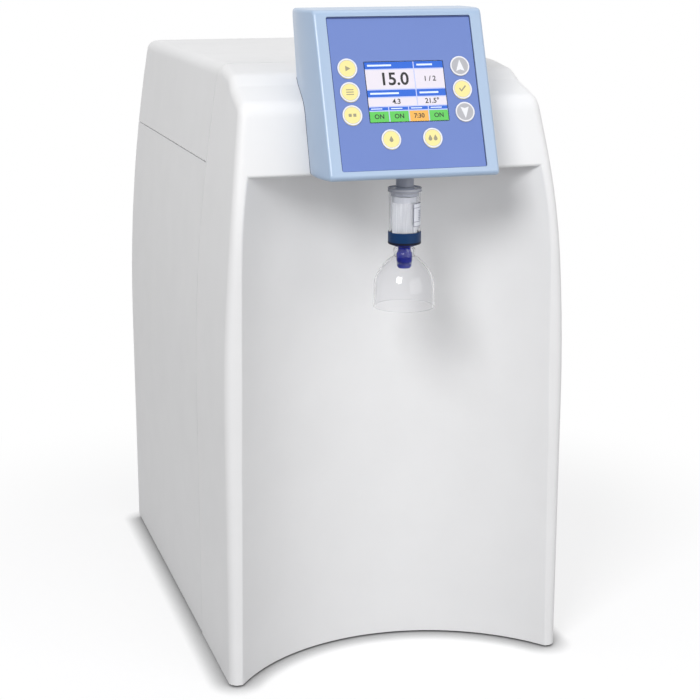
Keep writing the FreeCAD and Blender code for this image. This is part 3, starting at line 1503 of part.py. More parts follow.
def regulator():
    """The pressure regulator beside the divider."""
    waist = d.regulator_height / 3
    return piece("pressure_regulator", turned("Regulator", [
        (0, 0), (d.regulator_neck, 0), (d.regulator_neck, waist / 3), (d.regulator_radius, waist / 2),
        (d.regulator_radius, waist), (d.regulator_knob_radius, waist * 1.2), (d.regulator_knob_radius, 2.6 * waist),
        (d.regulator_neck, 2.8 * waist), (d.regulator_neck, d.regulator_height), (0, d.regulator_height)],
        regulator_side, d.regulator_back, d.regulator_low))


def dispense_valve():
    """The dispensing valve on the deck: a body with its coil on top."""
    body = new_body("DispenseValve")
    sketch = new_sketch(body, "XY_Plane", "ValveOutline")
    half = d.valve_width / 2
    loop(sketch, rectangle(-half, 0, half, d.valve_depth, d.valve_edge))
    pad(body, sketch, d.valve_body)
    coil = new_sketch(body, "XY_Plane", "ValveCoil", d.valve_body)
    ring(coil, 0, d.valve_depth / 2, d.valve_coil_radius)
    pad(body, coil, d.valve_coil)
    return piece("dispense_valve", place(body, 0, d.valve_front, deck_low + d.sheet))


def unions():
    """Push-fit unions in the back panel: a nut outside, a flange inside, and a bore for a tube."""
    fittings = []
    back = panel_front + d.sheet
    for number, across in enumerate(union_places()):
        fittings.append(turned(f"Union{number}", [
            (0, -d.sheet - d.union_in),
            (d.tube_radius + d.sheet, -d.sheet - d.union_in),
            (d.tube_radius + d.sheet, -d.sheet - d.union_nut - d.union_nut),
            (d.union_thread_radius, -d.sheet - d.union_nut),
            (d.union_nut_radius, -d.sheet - d.union_nut),
            (d.union_nut_radius, -d.sheet),
            (d.union_thread_radius, -d.sheet),
            (d.union_thread_radius, 0),
            (d.union_nut_radius, 0),
            (d.union_nut_radius, d.union_nut, d.union_nut / 6),
            (d.union_thread_radius, d.union_nut),
            (d.union_thread_radius, d.union_out - d.union_collet, d.union_collet / 4),
            (d.union_collet_radius, d.union_out - d.union_collet),
            (d.union_collet_radius, d.union_out, d.union_collet / 4),
            (d.union_bore, d.union_out),
            (d.union_bore, d.union_out - d.union_bore_depth),
            (0, d.union_out - d.union_bore_depth),
        ], across, back, d.union_height, Vector(1, 0, 0), -90))
    return piece("water_unions", group("WaterUnions", *fittings))


# Power inlet

def inlet_module():
    """The inlet at the back: a flange and body with a socket, a fuse slot and a rocker well."""
    back = panel_front + d.sheet
    body = new_body("InletModule")
    flange = new_sketch(body, "XZ_Plane", "InletFlange", -back - d.inlet_flange)
    half = d.inlet_width / 2
    loop(flange, rectangle(inlet_side - half, d.inlet_low, inlet_side + half, d.inlet_low + d.inlet_height,
                           d.inlet_corner))
    pad(body, flange, d.inlet_flange)
    core = new_sketch(body, "XZ_Plane", "InletCore", -back)
    half = d.inlet_body_width / 2
    low = inlet_mid - d.inlet_body_height / 2
    loop(core, rectangle(inlet_side - half, low, inlet_side + half, low + d.inlet_body_height))
    pad(body, core, d.inlet_body_depth)
    socket_low = d.inlet_low + d.socket_low
    openings = (
        ("Socket", d.socket_width, socket_low, d.socket_height, d.socket_depth, d.socket_corner),
        ("FuseSlot", d.fuse_width + 2 * d.fuse_gap, d.inlet_low + d.fuse_low - d.fuse_gap,
         d.fuse_height + 2 * d.fuse_gap, d.fuse_depth + d.fuse_gap, None),
        ("RockerWell", d.rocker_width + 2 * d.rocker_gap, d.inlet_low + d.rocker_low - d.rocker_gap,
         d.rocker_height + 2 * d.rocker_gap, d.rocker_body + d.rocker_rise, None),
    )
    for name, width, low, height, depth, corner in openings:
        sketch = new_sketch(body, "XZ_Plane", name, -back - d.inlet_flange)
        loop(sketch, rectangle(inlet_side - width / 2, low, inlet_side + width / 2, low + height, corner))
        pocket(body, sketch, depth, up=True)
    axle = rod("AxleHole", d.rocker_axle_radius + d.rocker_axle_gap, rocker_axle_length() + 2 * d.rocker_axle_gap,
               inlet_side - rocker_axle_length() / 2 - d.rocker_axle_gap, rocker_back(), rocker_mid(), "x")
    holed = cut("InletModuleBody", body, axle)
    return piece("inlet_module", group("InletModuleParts", holed, *inlet_blades()))


def rocker_mid():
    return d.inlet_low + d.rocker_low + d.rocker_height / 2


def rocker_back():
    return panel_front + d.sheet + d.inlet_flange - d.rocker_body / 2


def rocker_axle_length():
    return d.rocker_width + 2 * d.rocker_gap + 2 * d.rocker_axle_end


def inlet_blades():
    """The three contacts in the socket."""
    blades = []
    mid = d.inlet_low + d.socket_low + d.socket_height / 2
    deep = panel_front + d.sheet + d.inlet_flange - d.socket_depth
    for across, up in ((-d.blade_spread, -d.blade_offset / 2), (0, d.blade_offset / 2),
                       (d.blade_spread, -d.blade_offset / 2)):
        body = new_body(f"Blade{len(blades)}")
        sketch = new_sketch(body, "XZ_Plane", f"Blade{len(blades)}Outline", -deep)
        across = inlet_side + across
        loop(sketch, rectangle(across - d.blade_width / 2, mid + up - d.blade_height / 2, across + d.blade_width / 2,
                               mid + up + d.blade_height / 2, d.blade_width / 4))
        pad(body, sketch, d.blade_length, down=True)
        blades.append(body)
    return blades


def fuse_drawer():
    """The fuse drawer: a tray that slides out of its slot by a lip on its face."""
    back = panel_front + d.sheet + d.inlet_flange
    low = d.inlet_low + d.fuse_low
    body = new_body("FuseDrawer")
    sketch = new_sketch(body, "XZ_Plane", "DrawerFace", -back - d.fuse_face)
    half = d.fuse_width / 2
    loop(sketch, rectangle(inlet_side - half, low, inlet_side + half, low + d.fuse_height, d.fuse_face / 2))
    pad(body, sketch, d.fuse_depth + d.fuse_face - d.fuse_gap)
    fuse_bed = new_sketch(body, "XY_Plane", "DrawerBed", low + d.fuse_face)
    loop(fuse_bed, rectangle(inlet_side - half + d.fuse_face, back - d.fuse_depth + 2 * d.fuse_face,
                             inlet_side + half - d.fuse_face, back - d.fuse_face))
    pocket(body, fuse_bed, d.fuse_height, up=True)
    return piece("fuse_drawer", body)


def power_rocker():
    """The rocker, two faces at an angle on an axle, resting with its lower half pressed in."""
    body = new_body("PowerRocker")
    sketch = new_sketch(body, "YZ_Plane", "RockerOutline", -d.rocker_width / 2)
    reach = d.rocker_height / 2
    rise = d.rocker_body / 2 + d.rocker_rise / 2
    loop(sketch, [
        (d.rocker_body / 2 - d.rocker_gap, 0),
        (rise, reach - d.rocker_gap),
        (0, reach - d.rocker_gap),
        (-d.rocker_body / 2 + d.rocker_gap, reach / 3),
        (-d.rocker_body / 2 + d.rocker_gap, -reach / 3),
        (0, -reach + d.rocker_gap),
        (rise, -reach + d.rocker_gap),
    ])
    pad(body, sketch, d.rocker_width)
    axle = new_sketch(body, "YZ_Plane", "RockerAxle", -rocker_axle_length() / 2)
    ring(axle, 0, 0, d.rocker_axle_radius)
    pad(body, axle, rocker_axle_length())
    return piece("power_rocker", place(body, inlet_side, rocker_back(), rocker_mid(), Vector(1, 0, 0),
                                       -d.rocker_tilt))


# Electrics

def power_supply():
    """The power supply on the divider, with a row of vents in its outer face."""
    body = new_body("PowerSupply")
    sketch = new_sketch(body, "YZ_Plane", "SupplyOutline", divider_face)
    loop(sketch, rectangle(d.supply_front, d.supply_low, d.supply_front + d.supply_length,
                           d.supply_low + d.supply_height, d.supply_edge))
    pad(body, sketch, d.supply_width)
    vent = new_sketch(body, "YZ_Plane", "SupplyVent", divider_face + d.supply_width)
    first = d.supply_front + (d.supply_length - d.supply_vent_pitch * (d.supply_vents - 1)) / 2
    loop(vent, rectangle(first - d.supply_vent / 2, d.supply_low + (d.supply_height - d.supply_vent_height) / 2,
                         first + d.supply_vent / 2, d.supply_low + (d.supply_height + d.supply_vent_height) / 2))
    slot = pocket(body, vent, d.sheet)
    document.recompute()
    rows = body.newObject("PartDesign::LinearPattern", "SupplyVents")
    rows.Originals = [slot]
    rows.Direction = (next(item for item in body.Origin.OriginFeatures if item.Role == "Y_Axis"), [""])
    bind(rows, "Length", d.supply_vent_pitch * (d.supply_vents - 1))
    bind(rows, "Occurrences", d.supply_vents)
    body.Tip = rows
    return piece("power_supply", body)


# Each part of the main board: its place and its size, in shares of the board's length and height
MAIN_BOARD_SHARES = (
    (0.1, 0.12, 0.2, 0.18),
    (0.4, 0.12, 0.1, 0.12),
    (0.6, 0.12, 0.3, 0.1),
    (0.1, 0.42, 0.14, 0.18),
    (0.4, 0.42, 0.22, 0.28),
    (0.74, 0.4, 0.14, 0.32),
    (0.12, 0.72, 0.22, 0.1),
    (0.6, 0.82, 0.3, 0.09),
)


def main_board():
    """The main board on its standoffs, with its larger parts."""
    face = divider_face + d.standoff_height
    body = new_body("MainBoard")
    sketch = new_sketch(body, "YZ_Plane", "MainBoardOutline", face)
    front = d.main_board_front
    low = d.supply_low + d.supply_height + d.main_board_gap
    height = deck_low - d.main_board_headroom - low
    loop(sketch, rectangle(front, low, front + d.main_board_length, low + height, d.board_margin))
    pad(body, sketch, d.board_sheet)
    parts = new_sketch(body, "YZ_Plane", "MainBoardParts", face + d.board_sheet)
    for along_share, up_share, length_share, height_share in MAIN_BOARD_SHARES:
        loop(parts, rectangle(
            front + along_share * d.main_board_length, low + up_share * height,
            front + (along_share + length_share) * d.main_board_length, low + (up_share + height_share) * height))
    pad(body, parts, d.chip_height)
    piece("main_board", body)
    posts = []
    for along in (front + d.standoff_inset, front + d.main_board_length - d.standoff_inset):
        for up in (low + d.standoff_inset, low + height - d.standoff_inset):
            posts.append(rod(f"Standoff{len(posts)}", d.standoff_radius, d.standoff_height, divider_face, along,
                             up, "x"))
    piece("board_standoffs", group("BoardStandoffs", *posts))


def lamp_ballast():
    """The lamp's ballast on the divider."""
    body = new_body("LampBallast")
    sketch = new_sketch(body, "XZ_Plane", "BallastOutline", -d.ballast_front - d.ballast_length)
    loop(sketch, rectangle(divider_face, d.ballast_low, divider_face + d.ballast_width,
                           d.ballast_low + d.ballast_height, d.ballast_edge))
    pad(body, sketch, d.ballast_length)
    return piece("lamp_ballast", body)


# Tubes

TOUCH = 0.001


def tube(name, points):
    """A tube through a route of points, straight with a tangent arc at each turn."""
    route = [Vector(*(as_size(item).value for item in point)) for point in points]
    radius = d.tube_bend.value
    edges = []
    last = route[0]
    for before, here, after in zip(route, route[1:], route[2:]):
        back = (before - here).normalize()
        ahead = (after - here).normalize()
        half = back.getAngle(ahead) / 2
        reach = radius / math.tan(half)
        inward = (back + ahead).normalize()
        centre = here + inward * (radius / math.sin(half))
        start = here + back * reach
        stop = here + ahead * reach
        if (start - last).Length > TOUCH:
            edges.append(Part.makeLine(last, start))
        edges.append(Part.Arc(start, centre - inward * radius, stop).toShape())
        last = stop
    if (route[-1] - last).Length > TOUCH:
        edges.append(Part.makeLine(last, route[-1]))
    circle = Part.Wire(Part.makeCircle(d.tube_radius.value, route[0], route[1] - route[0]))
    solid = Part.Wire(edges).makePipeShell([circle], True, True)
    feature = document.addObject("Part::Feature", name)
    feature.Shape = solid
    return feature


def tube_crossings():
    """Where tubes cross the divider: along and up."""
    backs = cartridge_backs()
    return [
        (backs[0] - port_spread, rise_low),
        (backs[2] + port_spread, rise_high),
        (d.regulator_back, d.tube_cross),
    ]


def tubes():
    """The water's way: union, regulator, pump, three cartridges, lamp, ultrafilter, valve, outlet."""
    side = -cartridge_side
    backs = cartridge_backs()
    port_top = head_top + d.head_port
    union_end = panel_front - d.union_in
    regulator_top = d.regulator_low + d.regulator_height
    pump_out = d.pump_back + d.pump_head_length / 2
    pump_top = d.pump_height + d.pump_head_radius + d.pump_port
    lamp_end = lamp_back + lamp_radius + d.lamp_port
    lamp_run = lamp_end + d.tube_bend + d.tube_wall
    lamp_high = d.lamp_chamber_low + lamp_length - d.lamp_port_inset
    lamp_low = d.lamp_chamber_low + d.lamp_port_inset
    valve_up = deck_low + d.sheet + d.valve_port_height
    cell_top = d.filter_module_low + filter_length + d.cell_length
    outer_run = d.pump_side + d.pump_foot_width / 2 + d.tube_bend
    runs = [tube("FeedTube", [
        (regulator_side, union_end, d.union_height), (regulator_side, d.regulator_back, d.union_height),
        (regulator_side, d.regulator_back, d.regulator_low)])]
    runs.append(tube("PumpTube", [
        (regulator_side, d.regulator_back, regulator_top), (regulator_side, d.regulator_back, d.tube_cross),
        (outer_run, d.regulator_back, d.tube_cross), (outer_run, d.regulator_back, d.pump_height),
        (outer_run, d.pump_back - d.pump_port - 2 * d.tube_bend, d.pump_height),
        (d.pump_side, d.pump_back - d.pump_port - 2 * d.tube_bend, d.pump_height),
        (d.pump_side, d.pump_back - d.pump_port, d.pump_height)]))
    runs.append(tube("CartridgeFeedTube", [
        (d.pump_side, pump_out, pump_top), (d.pump_side, pump_out, rise_high),
        (d.pump_side, backs[2] + port_spread, rise_high), (side, backs[2] + port_spread, rise_high),
        (side, backs[2] + port_spread, port_top)]))
    for name, first, second in (("RearLinkTube", 2, 1), ("FrontLinkTube", 1, 0)):
        runs.append(tube(name, [
            (side, backs[first] - port_spread, port_top), (side, backs[first] - port_spread, rise_link),
            (side, backs[second] + port_spread, rise_link), (side, backs[second] + port_spread, port_top)]))
    runs.append(tube("LampTube", [
        (side, backs[0] - port_spread, port_top), (side, backs[0] - port_spread, rise_low),
        (lamp_side, backs[0] - port_spread, rise_low), (lamp_side, lamp_run, rise_low),
        (lamp_side, lamp_run, lamp_high), (lamp_side, lamp_end, lamp_high)]))
    runs.append(tube("UltrafilterTube", [
        (lamp_side, lamp_end, lamp_low), (lamp_side, lamp_run, lamp_low),
        (lamp_side, lamp_run, d.tube_floor), (filter_side, lamp_run, d.tube_floor),
        (filter_side, filter_back, d.tube_floor), (filter_side, filter_back, d.filter_module_low)]))
    runs.append(tube("ValveTube", [
        (filter_side, filter_back, cell_top), (filter_side, filter_back, valve_up),
        (filter_side, d.valve_front + d.valve_depth / 2, valve_up),
        (d.valve_width / 2, d.valve_front + d.valve_depth / 2, valve_up)]))
    runs.append(tube("OutletTube", [
        (0, d.valve_front, valve_up), (0, -d.outlet_ahead, valve_up),
        (0, -d.outlet_ahead, console_low + d.console_wall + d.stub_barb)]))
    return piece("water_tubes", group("WaterTubes", *runs))


front_cover()
rear_hood()
door(-1)
door(1)
console_housing()
overlay_panel()
screen()
for key_name, key_place in keys.items():
    key(key_name, *key_place)
screws = []
key_board()
outlet_stub()
final_filter()
filling_bell()
base_tray()
bulkhead()
centre_divider()
top_deck()
door_pins()
magnet_catches()
back_panel()
piece("screws", group("Screws", *screws))
cartridges()
cartridge_heads()
lamp_chamber()
ultrafilter()
saddles()
pump()
regulator()
dispense_valve()
unions()
inlet_module()
fuse_drawer()
power_rocker()
power_supply()
main_board()
lamp_ballast()
tubes()


# Finish: every piece is set back so that the origin lies under the middle of the part

document.recompute()
for thing in pieces:
    bound = dict(thing.ExpressionEngine)
    along = bound.get("Placement.Base.y") or bound.get(".Placement.Base.y") or "0"
    thing.setExpression("Placement.Base.y", f"{along} - {middle.text}")
document.recompute()
os.makedirs("parts", exist_ok=True)
for thing in document.Objects:
    if "Invalid" in thing.State or "Error" in thing.State:
        raise RuntimeError(f"{thing.Name} did not build: {thing.State}")
for thing in pieces:
    if thing.Shape.isNull() or not thing.Shape.isValid() or not thing.Shape.Solids:
        raise RuntimeError(f"{thing.Label} is not a valid solid")
for thing in pieces:
    thing.Shape.exportStep(f"parts/{thing.Label}.step")
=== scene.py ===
"""The looks of an ultrapure water system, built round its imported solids. Metres, +Z up, +Y to the back."""

import math

import bmesh
import bpy
from mathutils import Matrix, Vector
from mathutils.bvhtree import BVHTree


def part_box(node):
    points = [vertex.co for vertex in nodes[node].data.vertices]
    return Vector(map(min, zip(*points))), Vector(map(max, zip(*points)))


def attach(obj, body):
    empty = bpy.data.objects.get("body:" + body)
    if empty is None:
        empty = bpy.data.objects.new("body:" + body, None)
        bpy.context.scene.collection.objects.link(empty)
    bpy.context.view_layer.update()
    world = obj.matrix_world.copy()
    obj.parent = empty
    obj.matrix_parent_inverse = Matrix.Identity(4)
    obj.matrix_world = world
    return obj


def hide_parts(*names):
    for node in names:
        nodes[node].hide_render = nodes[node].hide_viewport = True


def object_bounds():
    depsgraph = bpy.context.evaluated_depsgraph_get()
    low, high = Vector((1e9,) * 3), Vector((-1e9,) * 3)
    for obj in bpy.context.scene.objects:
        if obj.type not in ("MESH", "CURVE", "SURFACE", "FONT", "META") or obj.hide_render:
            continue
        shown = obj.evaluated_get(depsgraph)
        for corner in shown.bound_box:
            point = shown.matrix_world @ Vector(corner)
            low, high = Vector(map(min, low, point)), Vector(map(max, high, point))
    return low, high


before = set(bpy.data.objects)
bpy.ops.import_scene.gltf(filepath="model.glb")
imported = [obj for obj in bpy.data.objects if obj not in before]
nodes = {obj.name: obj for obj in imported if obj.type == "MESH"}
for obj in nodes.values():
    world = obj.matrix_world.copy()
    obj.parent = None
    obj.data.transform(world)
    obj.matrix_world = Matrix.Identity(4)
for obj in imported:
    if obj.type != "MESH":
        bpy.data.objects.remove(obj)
cad_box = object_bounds()
MM = 0.001
WELD = 1e-7  # points of a turned mesh that are nearer than this become one
FRONT_FACING = -0.5  # a face whose normal has a smaller Y than this looks to the front


# Where pieces stand, worked out from the frame

def middle(node):
    """The centre of a node's box."""
    low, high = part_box(node)
    return (Vector(low) + Vector(high)) / 2


def face_frame(node):
    """A frame on the broad flat front of a node: X across, Y up the face, Z out of it."""
    mesh = nodes[node].data
    areas = {}
    for face in mesh.polygons:
        if face.normal.y < FRONT_FACING:
            facing = tuple(round(value, 4) for value in face.normal)
            areas[facing] = areas.get(facing, 0) + face.area
    out = Vector(max(areas, key=areas.get)).normalized()
    across = Vector((1, 0, 0))
    up = out.cross(across)
    level = max(vertex.co.dot(out) for vertex in mesh.vertices)
    low = min(vertex.co.dot(up) for vertex in mesh.vertices)
    origin = up * low + out * level
    frame_on_face = Matrix((across, up, out)).transposed().to_4x4()
    frame_on_face.translation = origin
    return frame_on_face


console_face = face_frame("overlay_panel")


def on_face(node):
    """A node's centre in the console's frame: across the face and up it."""
    place = console_face.inverted() @ middle(node)
    return place.x, place.y


# Meshes

def finished(name, mesh_edit, body, material, smooth=30):
    """Turn an edited mesh into a piece that rides on a body."""
    bmesh.ops.recalc_face_normals(mesh_edit, faces=mesh_edit.faces)
    mesh = bpy.data.meshes.new(name)
    mesh_edit.to_mesh(mesh)
    mesh_edit.free()
    thing = bpy.data.objects.new(name, mesh)
    bpy.context.scene.collection.objects.link(thing)
    mesh.materials.append(material)
    if smooth:
        for face in mesh.polygons:
            face.use_smooth = True
        mesh.set_sharp_from_angle(angle=math.radians(smooth))
    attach(thing, body)
    return thing


def lathe(name, profile, place, body, material, steps=48, smooth=35):
    """A profile of (radius, height) turned about the Z axis of a place, closed on itself."""
    edit = bmesh.new()
    rings = []
    for step in range(steps):
        turned = place @ Matrix.Rotation(2 * math.pi * step / steps, 4, "Z")
        rings.append([edit.verts.new(turned @ Vector((radius, 0, height))) for radius, height in profile])
    for step in range(steps):
        here, there = rings[step], rings[(step + 1) % steps]
        for number in range(len(profile)):
            ahead = (number + 1) % len(profile)
            edit.faces.new((here[number], there[number], there[ahead], here[ahead]))
    bmesh.ops.remove_doubles(edit, verts=edit.verts, dist=WELD)
    return finished(name, edit, body, material, smooth)


def prism(edit, outline, low, high, place):
    """Add a closed block to a mesh: an outline of (x, y) between two heights."""
    under = [edit.verts.new(place @ Vector((x, y, low))) for x, y in outline]
    over = [edit.verts.new(place @ Vector((x, y, high))) for x, y in outline]
    edit.faces.new(under[::-1])
    edit.faces.new(over)
    for number in range(len(outline)):
        ahead = (number + 1) % len(outline)
        edit.faces.new((under[number], under[ahead], over[ahead], over[number]))


def rectangle(left, low, right, high):
    """The outline of a rectangle."""
    return [(left, low), (right, low), (right, high), (left, high)]


def blocks(name, outlines, low, high, place, body, material):
    """Several blocks of one material as one piece."""
    edit = bmesh.new()
    for outline in outlines:
        prism(edit, outline, low, high, place)
    finished(name, edit, body, material, smooth=0)


def from_curve(name, curve, body, material, place=None):
    """Turn a curve into a piece that rides on a body, moved to a place if one is given."""
    drawn = bpy.data.objects.new(name, curve)
    bpy.context.scene.collection.objects.link(drawn)
    mesh = bpy.data.meshes.new_from_object(drawn)
    bpy.data.objects.remove(drawn)
    bpy.data.curves.remove(curve)
    thing = bpy.data.objects.new(name, mesh)
    bpy.context.scene.collection.objects.link(thing)
    if place is not None:
        mesh.transform(place)
    mesh.materials.clear()
    mesh.materials.append(material)
    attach(thing, body)
    return thing


def words(name, line, size, place, body, material, depth, weight):
    """A line of figures standing on a place, centred on it and thickened by a weight."""
    curve = bpy.data.curves.new(name, "FONT")
    curve.body = line
    curve.size = size
    curve.extrude = depth
    curve.offset = weight
    curve.align_x = "CENTER"
    curve.align_y = "CENTER"
    curve.resolution_u = 4
    from_curve(name, curve, body, material, place)


# Materials

def tone(red, green, blue):
    """A display colour from 0 to 255 as the linear colour that a shader takes."""
    channels = []
    for value in (red, green, blue):
        share = value / 255
        channels.append(share / 12.92 if share <= 0.04045 else ((share + 0.055) / 1.055) ** 2.4)
    return (*channels, 1)


def joined(tree, operation, first, second):
    """A socket joined to a second one, or to a number, by an operation."""
    node = tree.nodes.new("ShaderNodeMath")
    node.operation = operation
    tree.links.new(first, node.inputs[0])
    if isinstance(second, bpy.types.NodeSocket):
        tree.links.new(second, node.inputs[1])
    else:
        node.inputs[1].default_value = second
    return node.outputs["Value"]


def mapped(tree, source, low, high, start=0.0, stop=1.0, blend="LINEAR"):
    """A value brought from one range to another."""
    node = tree.nodes.new("ShaderNodeMapRange")
    node.interpolation_type = blend
    for name, value in (("From Min", start), ("From Max", stop), ("To Min", low), ("To Max", high)):
        node.inputs[name].default_value = value
    tree.links.new(source, node.inputs["Value"])
    return node.outputs["Result"]


class Finish:
    """One material: a principled shader with helpers for the nodes that feed it."""

    def __init__(self, name):
        self.material = bpy.data.materials.new(name)
        self.material.use_nodes = True
        self.tree = self.material.node_tree
        self.shader = self.tree.nodes["Principled BSDF"]
        self.output = self.tree.nodes["Material Output"]
        self.place = self.tree.nodes.new("ShaderNodeTexCoord").outputs["Object"]

    def set(self, **values):
        for name, value in values.items():
            self.shader.inputs[name.replace("_", " ")].default_value = value

    def link(self, source, socket):
        self.tree.links.new(source, socket)

    def stretched(self, x, y, z):
        """The place, stretched along the axes."""
        node = self.tree.nodes.new("ShaderNodeMapping")
        node.inputs["Scale"].default_value = (x, y, z)
        self.link(self.place, node.inputs["Vector"])
        return node.outputs["Vector"]

    def noise(self, grain, detail=3, place=None):
        """Noise with a grain of that size in metres."""
        node = self.tree.nodes.new("ShaderNodeTexNoise")
        node.inputs["Scale"].default_value = 1 / grain
        node.inputs["Detail"].default_value = detail
        self.link(place or self.place, node.inputs["Vector"])
        return node.outputs["Fac"]

    def cells(self, grain):
        """The distance to the nearest point of a field of cells of that size."""
        node = self.tree.nodes.new("ShaderNodeTexVoronoi")
        node.inputs["Scale"].default_value = 1 / grain
        self.link(self.place, node.inputs["Vector"])
        return node.outputs["Distance"]

    def spread(self, source, low, high, start=0.3, stop=0.7):
        """The middle part of a pattern's range, brought to another range."""
        return mapped(self.tree, source, low, high, start, stop)

    def ramp(self, source, stops):
        """Colours along a value."""
        node = self.tree.nodes.new("ShaderNodeValToRGB")
        points = node.color_ramp.elements
        while len(points) < len(stops):
            points.new(1)
        for point, (place, colour) in zip(points, stops):
            point.position = place
            point.color = colour
        self.link(source, node.inputs["Fac"])
        return node.outputs["Color"]

    def mottle(self, colour, share, grain, place=None):
        """A colour that wanders a little lighter and darker."""
        dark = tuple(channel * (1 - share) for channel in colour[:3])
        light = tuple(min(channel * (1 + share), 1) for channel in colour[:3])
        pattern = self.noise(grain, detail=4, place=place)
        wandering = self.ramp(pattern, ((0.3, (*dark, 1)), (0.7, (*light, 1))))
        self.link(wandering, self.shader.inputs["Base Color"])

    def matt(self, roughness, change, grain, place=None):
        """A roughness that wanders."""
        pattern = self.noise(grain, place=place)
        wandering = self.spread(pattern, roughness - change, roughness + change)
        self.link(wandering, self.shader.inputs["Roughness"])

    def bump(self, source, depth, strength=1.0):
        """A relief of that depth in metres."""
        node = self.tree.nodes.new("ShaderNodeBump")
        node.inputs["Strength"].default_value = strength
        node.inputs["Distance"].default_value = depth
        self.link(source, node.inputs["Height"])
        self.link(node.outputs["Normal"], self.shader.inputs["Normal"])


def moulded(name, colour, roughness=0.42, grain=0.0005, depth=0.00002, share=0.012, coat=0.0, gloss=0.2,
            bend=1.5, specular=0.5):
    """Moulded plastic: a fine grain, a colour that wanders slightly and a soft sheen."""
    finish = Finish(name)
    finish.mottle(colour, share, 0.05)
    finish.matt(roughness, 0.035, 0.02)
    finish.bump(finish.noise(grain, detail=2), depth)
    finish.set(Coat_Weight=coat, Coat_Roughness=gloss, Coat_IOR=bend, Specular_IOR_Level=specular)
    return finish.material


def sheet_metal(name, colour):
    """Powder-coated sheet: a pebbled coat."""
    finish = Finish(name)
    finish.mottle(colour, 0.03, 0.03)
    finish.matt(0.55, 0.06, 0.01)
    finish.bump(finish.noise(0.0009), 0.00005)
    return finish.material


def brushed(name, colour, along, roughness=0.28):
    """Bare metal with fine lines along one axis."""
    finish = Finish(name)
    lines = finish.stretched(*(1 if axis == along else 40 for axis in range(3)))
    finish.mottle(colour, 0.05, 0.03, place=lines)
    finish.matt(roughness, 0.08, 0.02, place=lines)
    finish.bump(finish.noise(0.01, detail=4, place=lines), 0.00001)
    finish.set(Metallic=1.0)
    return finish.material


def clear_plastic(name, colour, roughness, bend=1.3, shine=0.0, waves=0.4):
    """Clear plastic with faint flow marks."""
    finish = Finish(name)
    finish.set(Base_Color=colour, Transmission_Weight=1.0, IOR=bend, Roughness=roughness)
    finish.set(Coat_Weight=shine, Coat_Roughness=0.03)
    finish.bump(finish.noise(0.012, detail=1), 0.00003, strength=waves)
    return finish.material


def milky(name, colour, share):
    """Plastic that passes some light and scatters it."""
    finish = Finish(name)
    finish.mottle(colour, 0.03, 0.01)
    finish.matt(0.22, 0.04, 0.006)
    finish.bump(finish.noise(0.004, detail=2), 0.00002)
    finish.set(Transmission_Weight=share, IOR=1.45, Coat_Weight=0.6, Coat_Roughness=0.06)
    return finish.material


def fibre_stock(name, colour):
    """White hollow fibre, streaked along its upright run."""
    finish = Finish(name)
    streaks = finish.stretched(1, 1, 0.03)
    finish.mottle(colour, 0.17, 0.0011, place=streaks)
    finish.matt(0.5, 0.06, 0.002)
    finish.bump(finish.noise(0.0004, detail=2, place=streaks), 0.00002)
    return finish.material


def rubber(name):
    """Dull rubber with a dusty grain."""
    finish = Finish(name)
    finish.mottle(tone(38, 38, 40), 0.2, 0.004)
    finish.matt(0.8, 0.08, 0.003)
    finish.bump(finish.noise(0.0006, detail=4), 0.00006)
    return finish.material


def circuit_board(name):
    """Green lacquer over a mat of tracks."""
    finish = Finish(name)
    tracks = finish.spread(finish.cells(0.004), 0, 1, 0.25, 0.3)
    lacquer = finish.ramp(tracks, ((0.0, tone(26, 92, 52)), (1.0, tone(14, 64, 36))))
    finish.link(lacquer, finish.shader.inputs["Base Color"])
    finish.matt(0.3, 0.06, 0.004)
    finish.bump(tracks, 0.00004)
    finish.set(Coat_Weight=0.4, Coat_Roughness=0.15)
    return finish.material


def printed(name, colour):
    """Ink: an even colour with the least wander."""
    finish = Finish(name)
    finish.mottle(colour, 0.01, 0.004)
    finish.matt(0.35, 0.03, 0.002)
    return finish.material


def lit(name, colour, glow):
    """A cell of the display, lit from behind, with the fine raster of its dots."""
    finish = Finish(name)
    finish.mottle(colour, 0.015, 0.0006)
    finish.matt(0.3, 0.03, 0.001)
    dimmer = tuple(channel * 0.98 for channel in colour[:3])
    raster = finish.ramp(finish.noise(0.0006), ((0.3, (*dimmer, 1)), (0.7, colour)))
    finish.link(raster, finish.shader.inputs["Emission Color"])
    finish.set(Emission_Strength=glow)
    return finish.material


SHELL = moulded("shell_white", tone(229, 229, 230), roughness=0.5, grain=0.0006, depth=0.00003,
                specular=0.4)
CONSOLE = moulded("console_blue", tone(147, 171, 200), roughness=0.45, coat=1.0, gloss=0.42, bend=1.8,
                  specular=0.5)
OVERLAY = moulded("overlay_blue", tone(102, 125, 188), roughness=0.5, grain=0.0003)
KEY_YELLOW = moulded("key_yellow", tone(236, 222, 150), roughness=0.4)
KEY_GREY = moulded("key_grey", tone(172, 172, 178), roughness=0.4)
KEY_RING = moulded("key_ring_white", tone(226, 226, 231), roughness=0.4)
KEY_MARK = printed("key_mark", tone(150, 145, 120))
ARROW_MARK = printed("arrow_mark", tone(226, 227, 232))
STUB = moulded("stub_grey", tone(150, 153, 166), roughness=0.3)
COLLAR = moulded("collar_blue", tone(0, 46, 90), roughness=0.34, grain=0.002, specular=0.2)
NOZZLE = moulded("nozzle_blue", tone(4, 18, 128), roughness=0.22, grain=0.002, specular=0.3)
CAPSULE = clear_plastic("capsule_clear", tone(246, 247, 250), 0.04)
CAP = milky("cap_clear_grey", tone(188, 191, 202), 0.35)
BELL = clear_plastic("bell_clear", tone(249, 249, 250), 0.015, bend=1.12, shine=0.45, waves=0.1)
FIBRE = fibre_stock("fibre_white", tone(243, 243, 246))
POTTING = milky("potting_grey", tone(222, 223, 228), 0.2)
WINDOW = clear_plastic("window_clear", tone(252, 252, 254), 0.02)
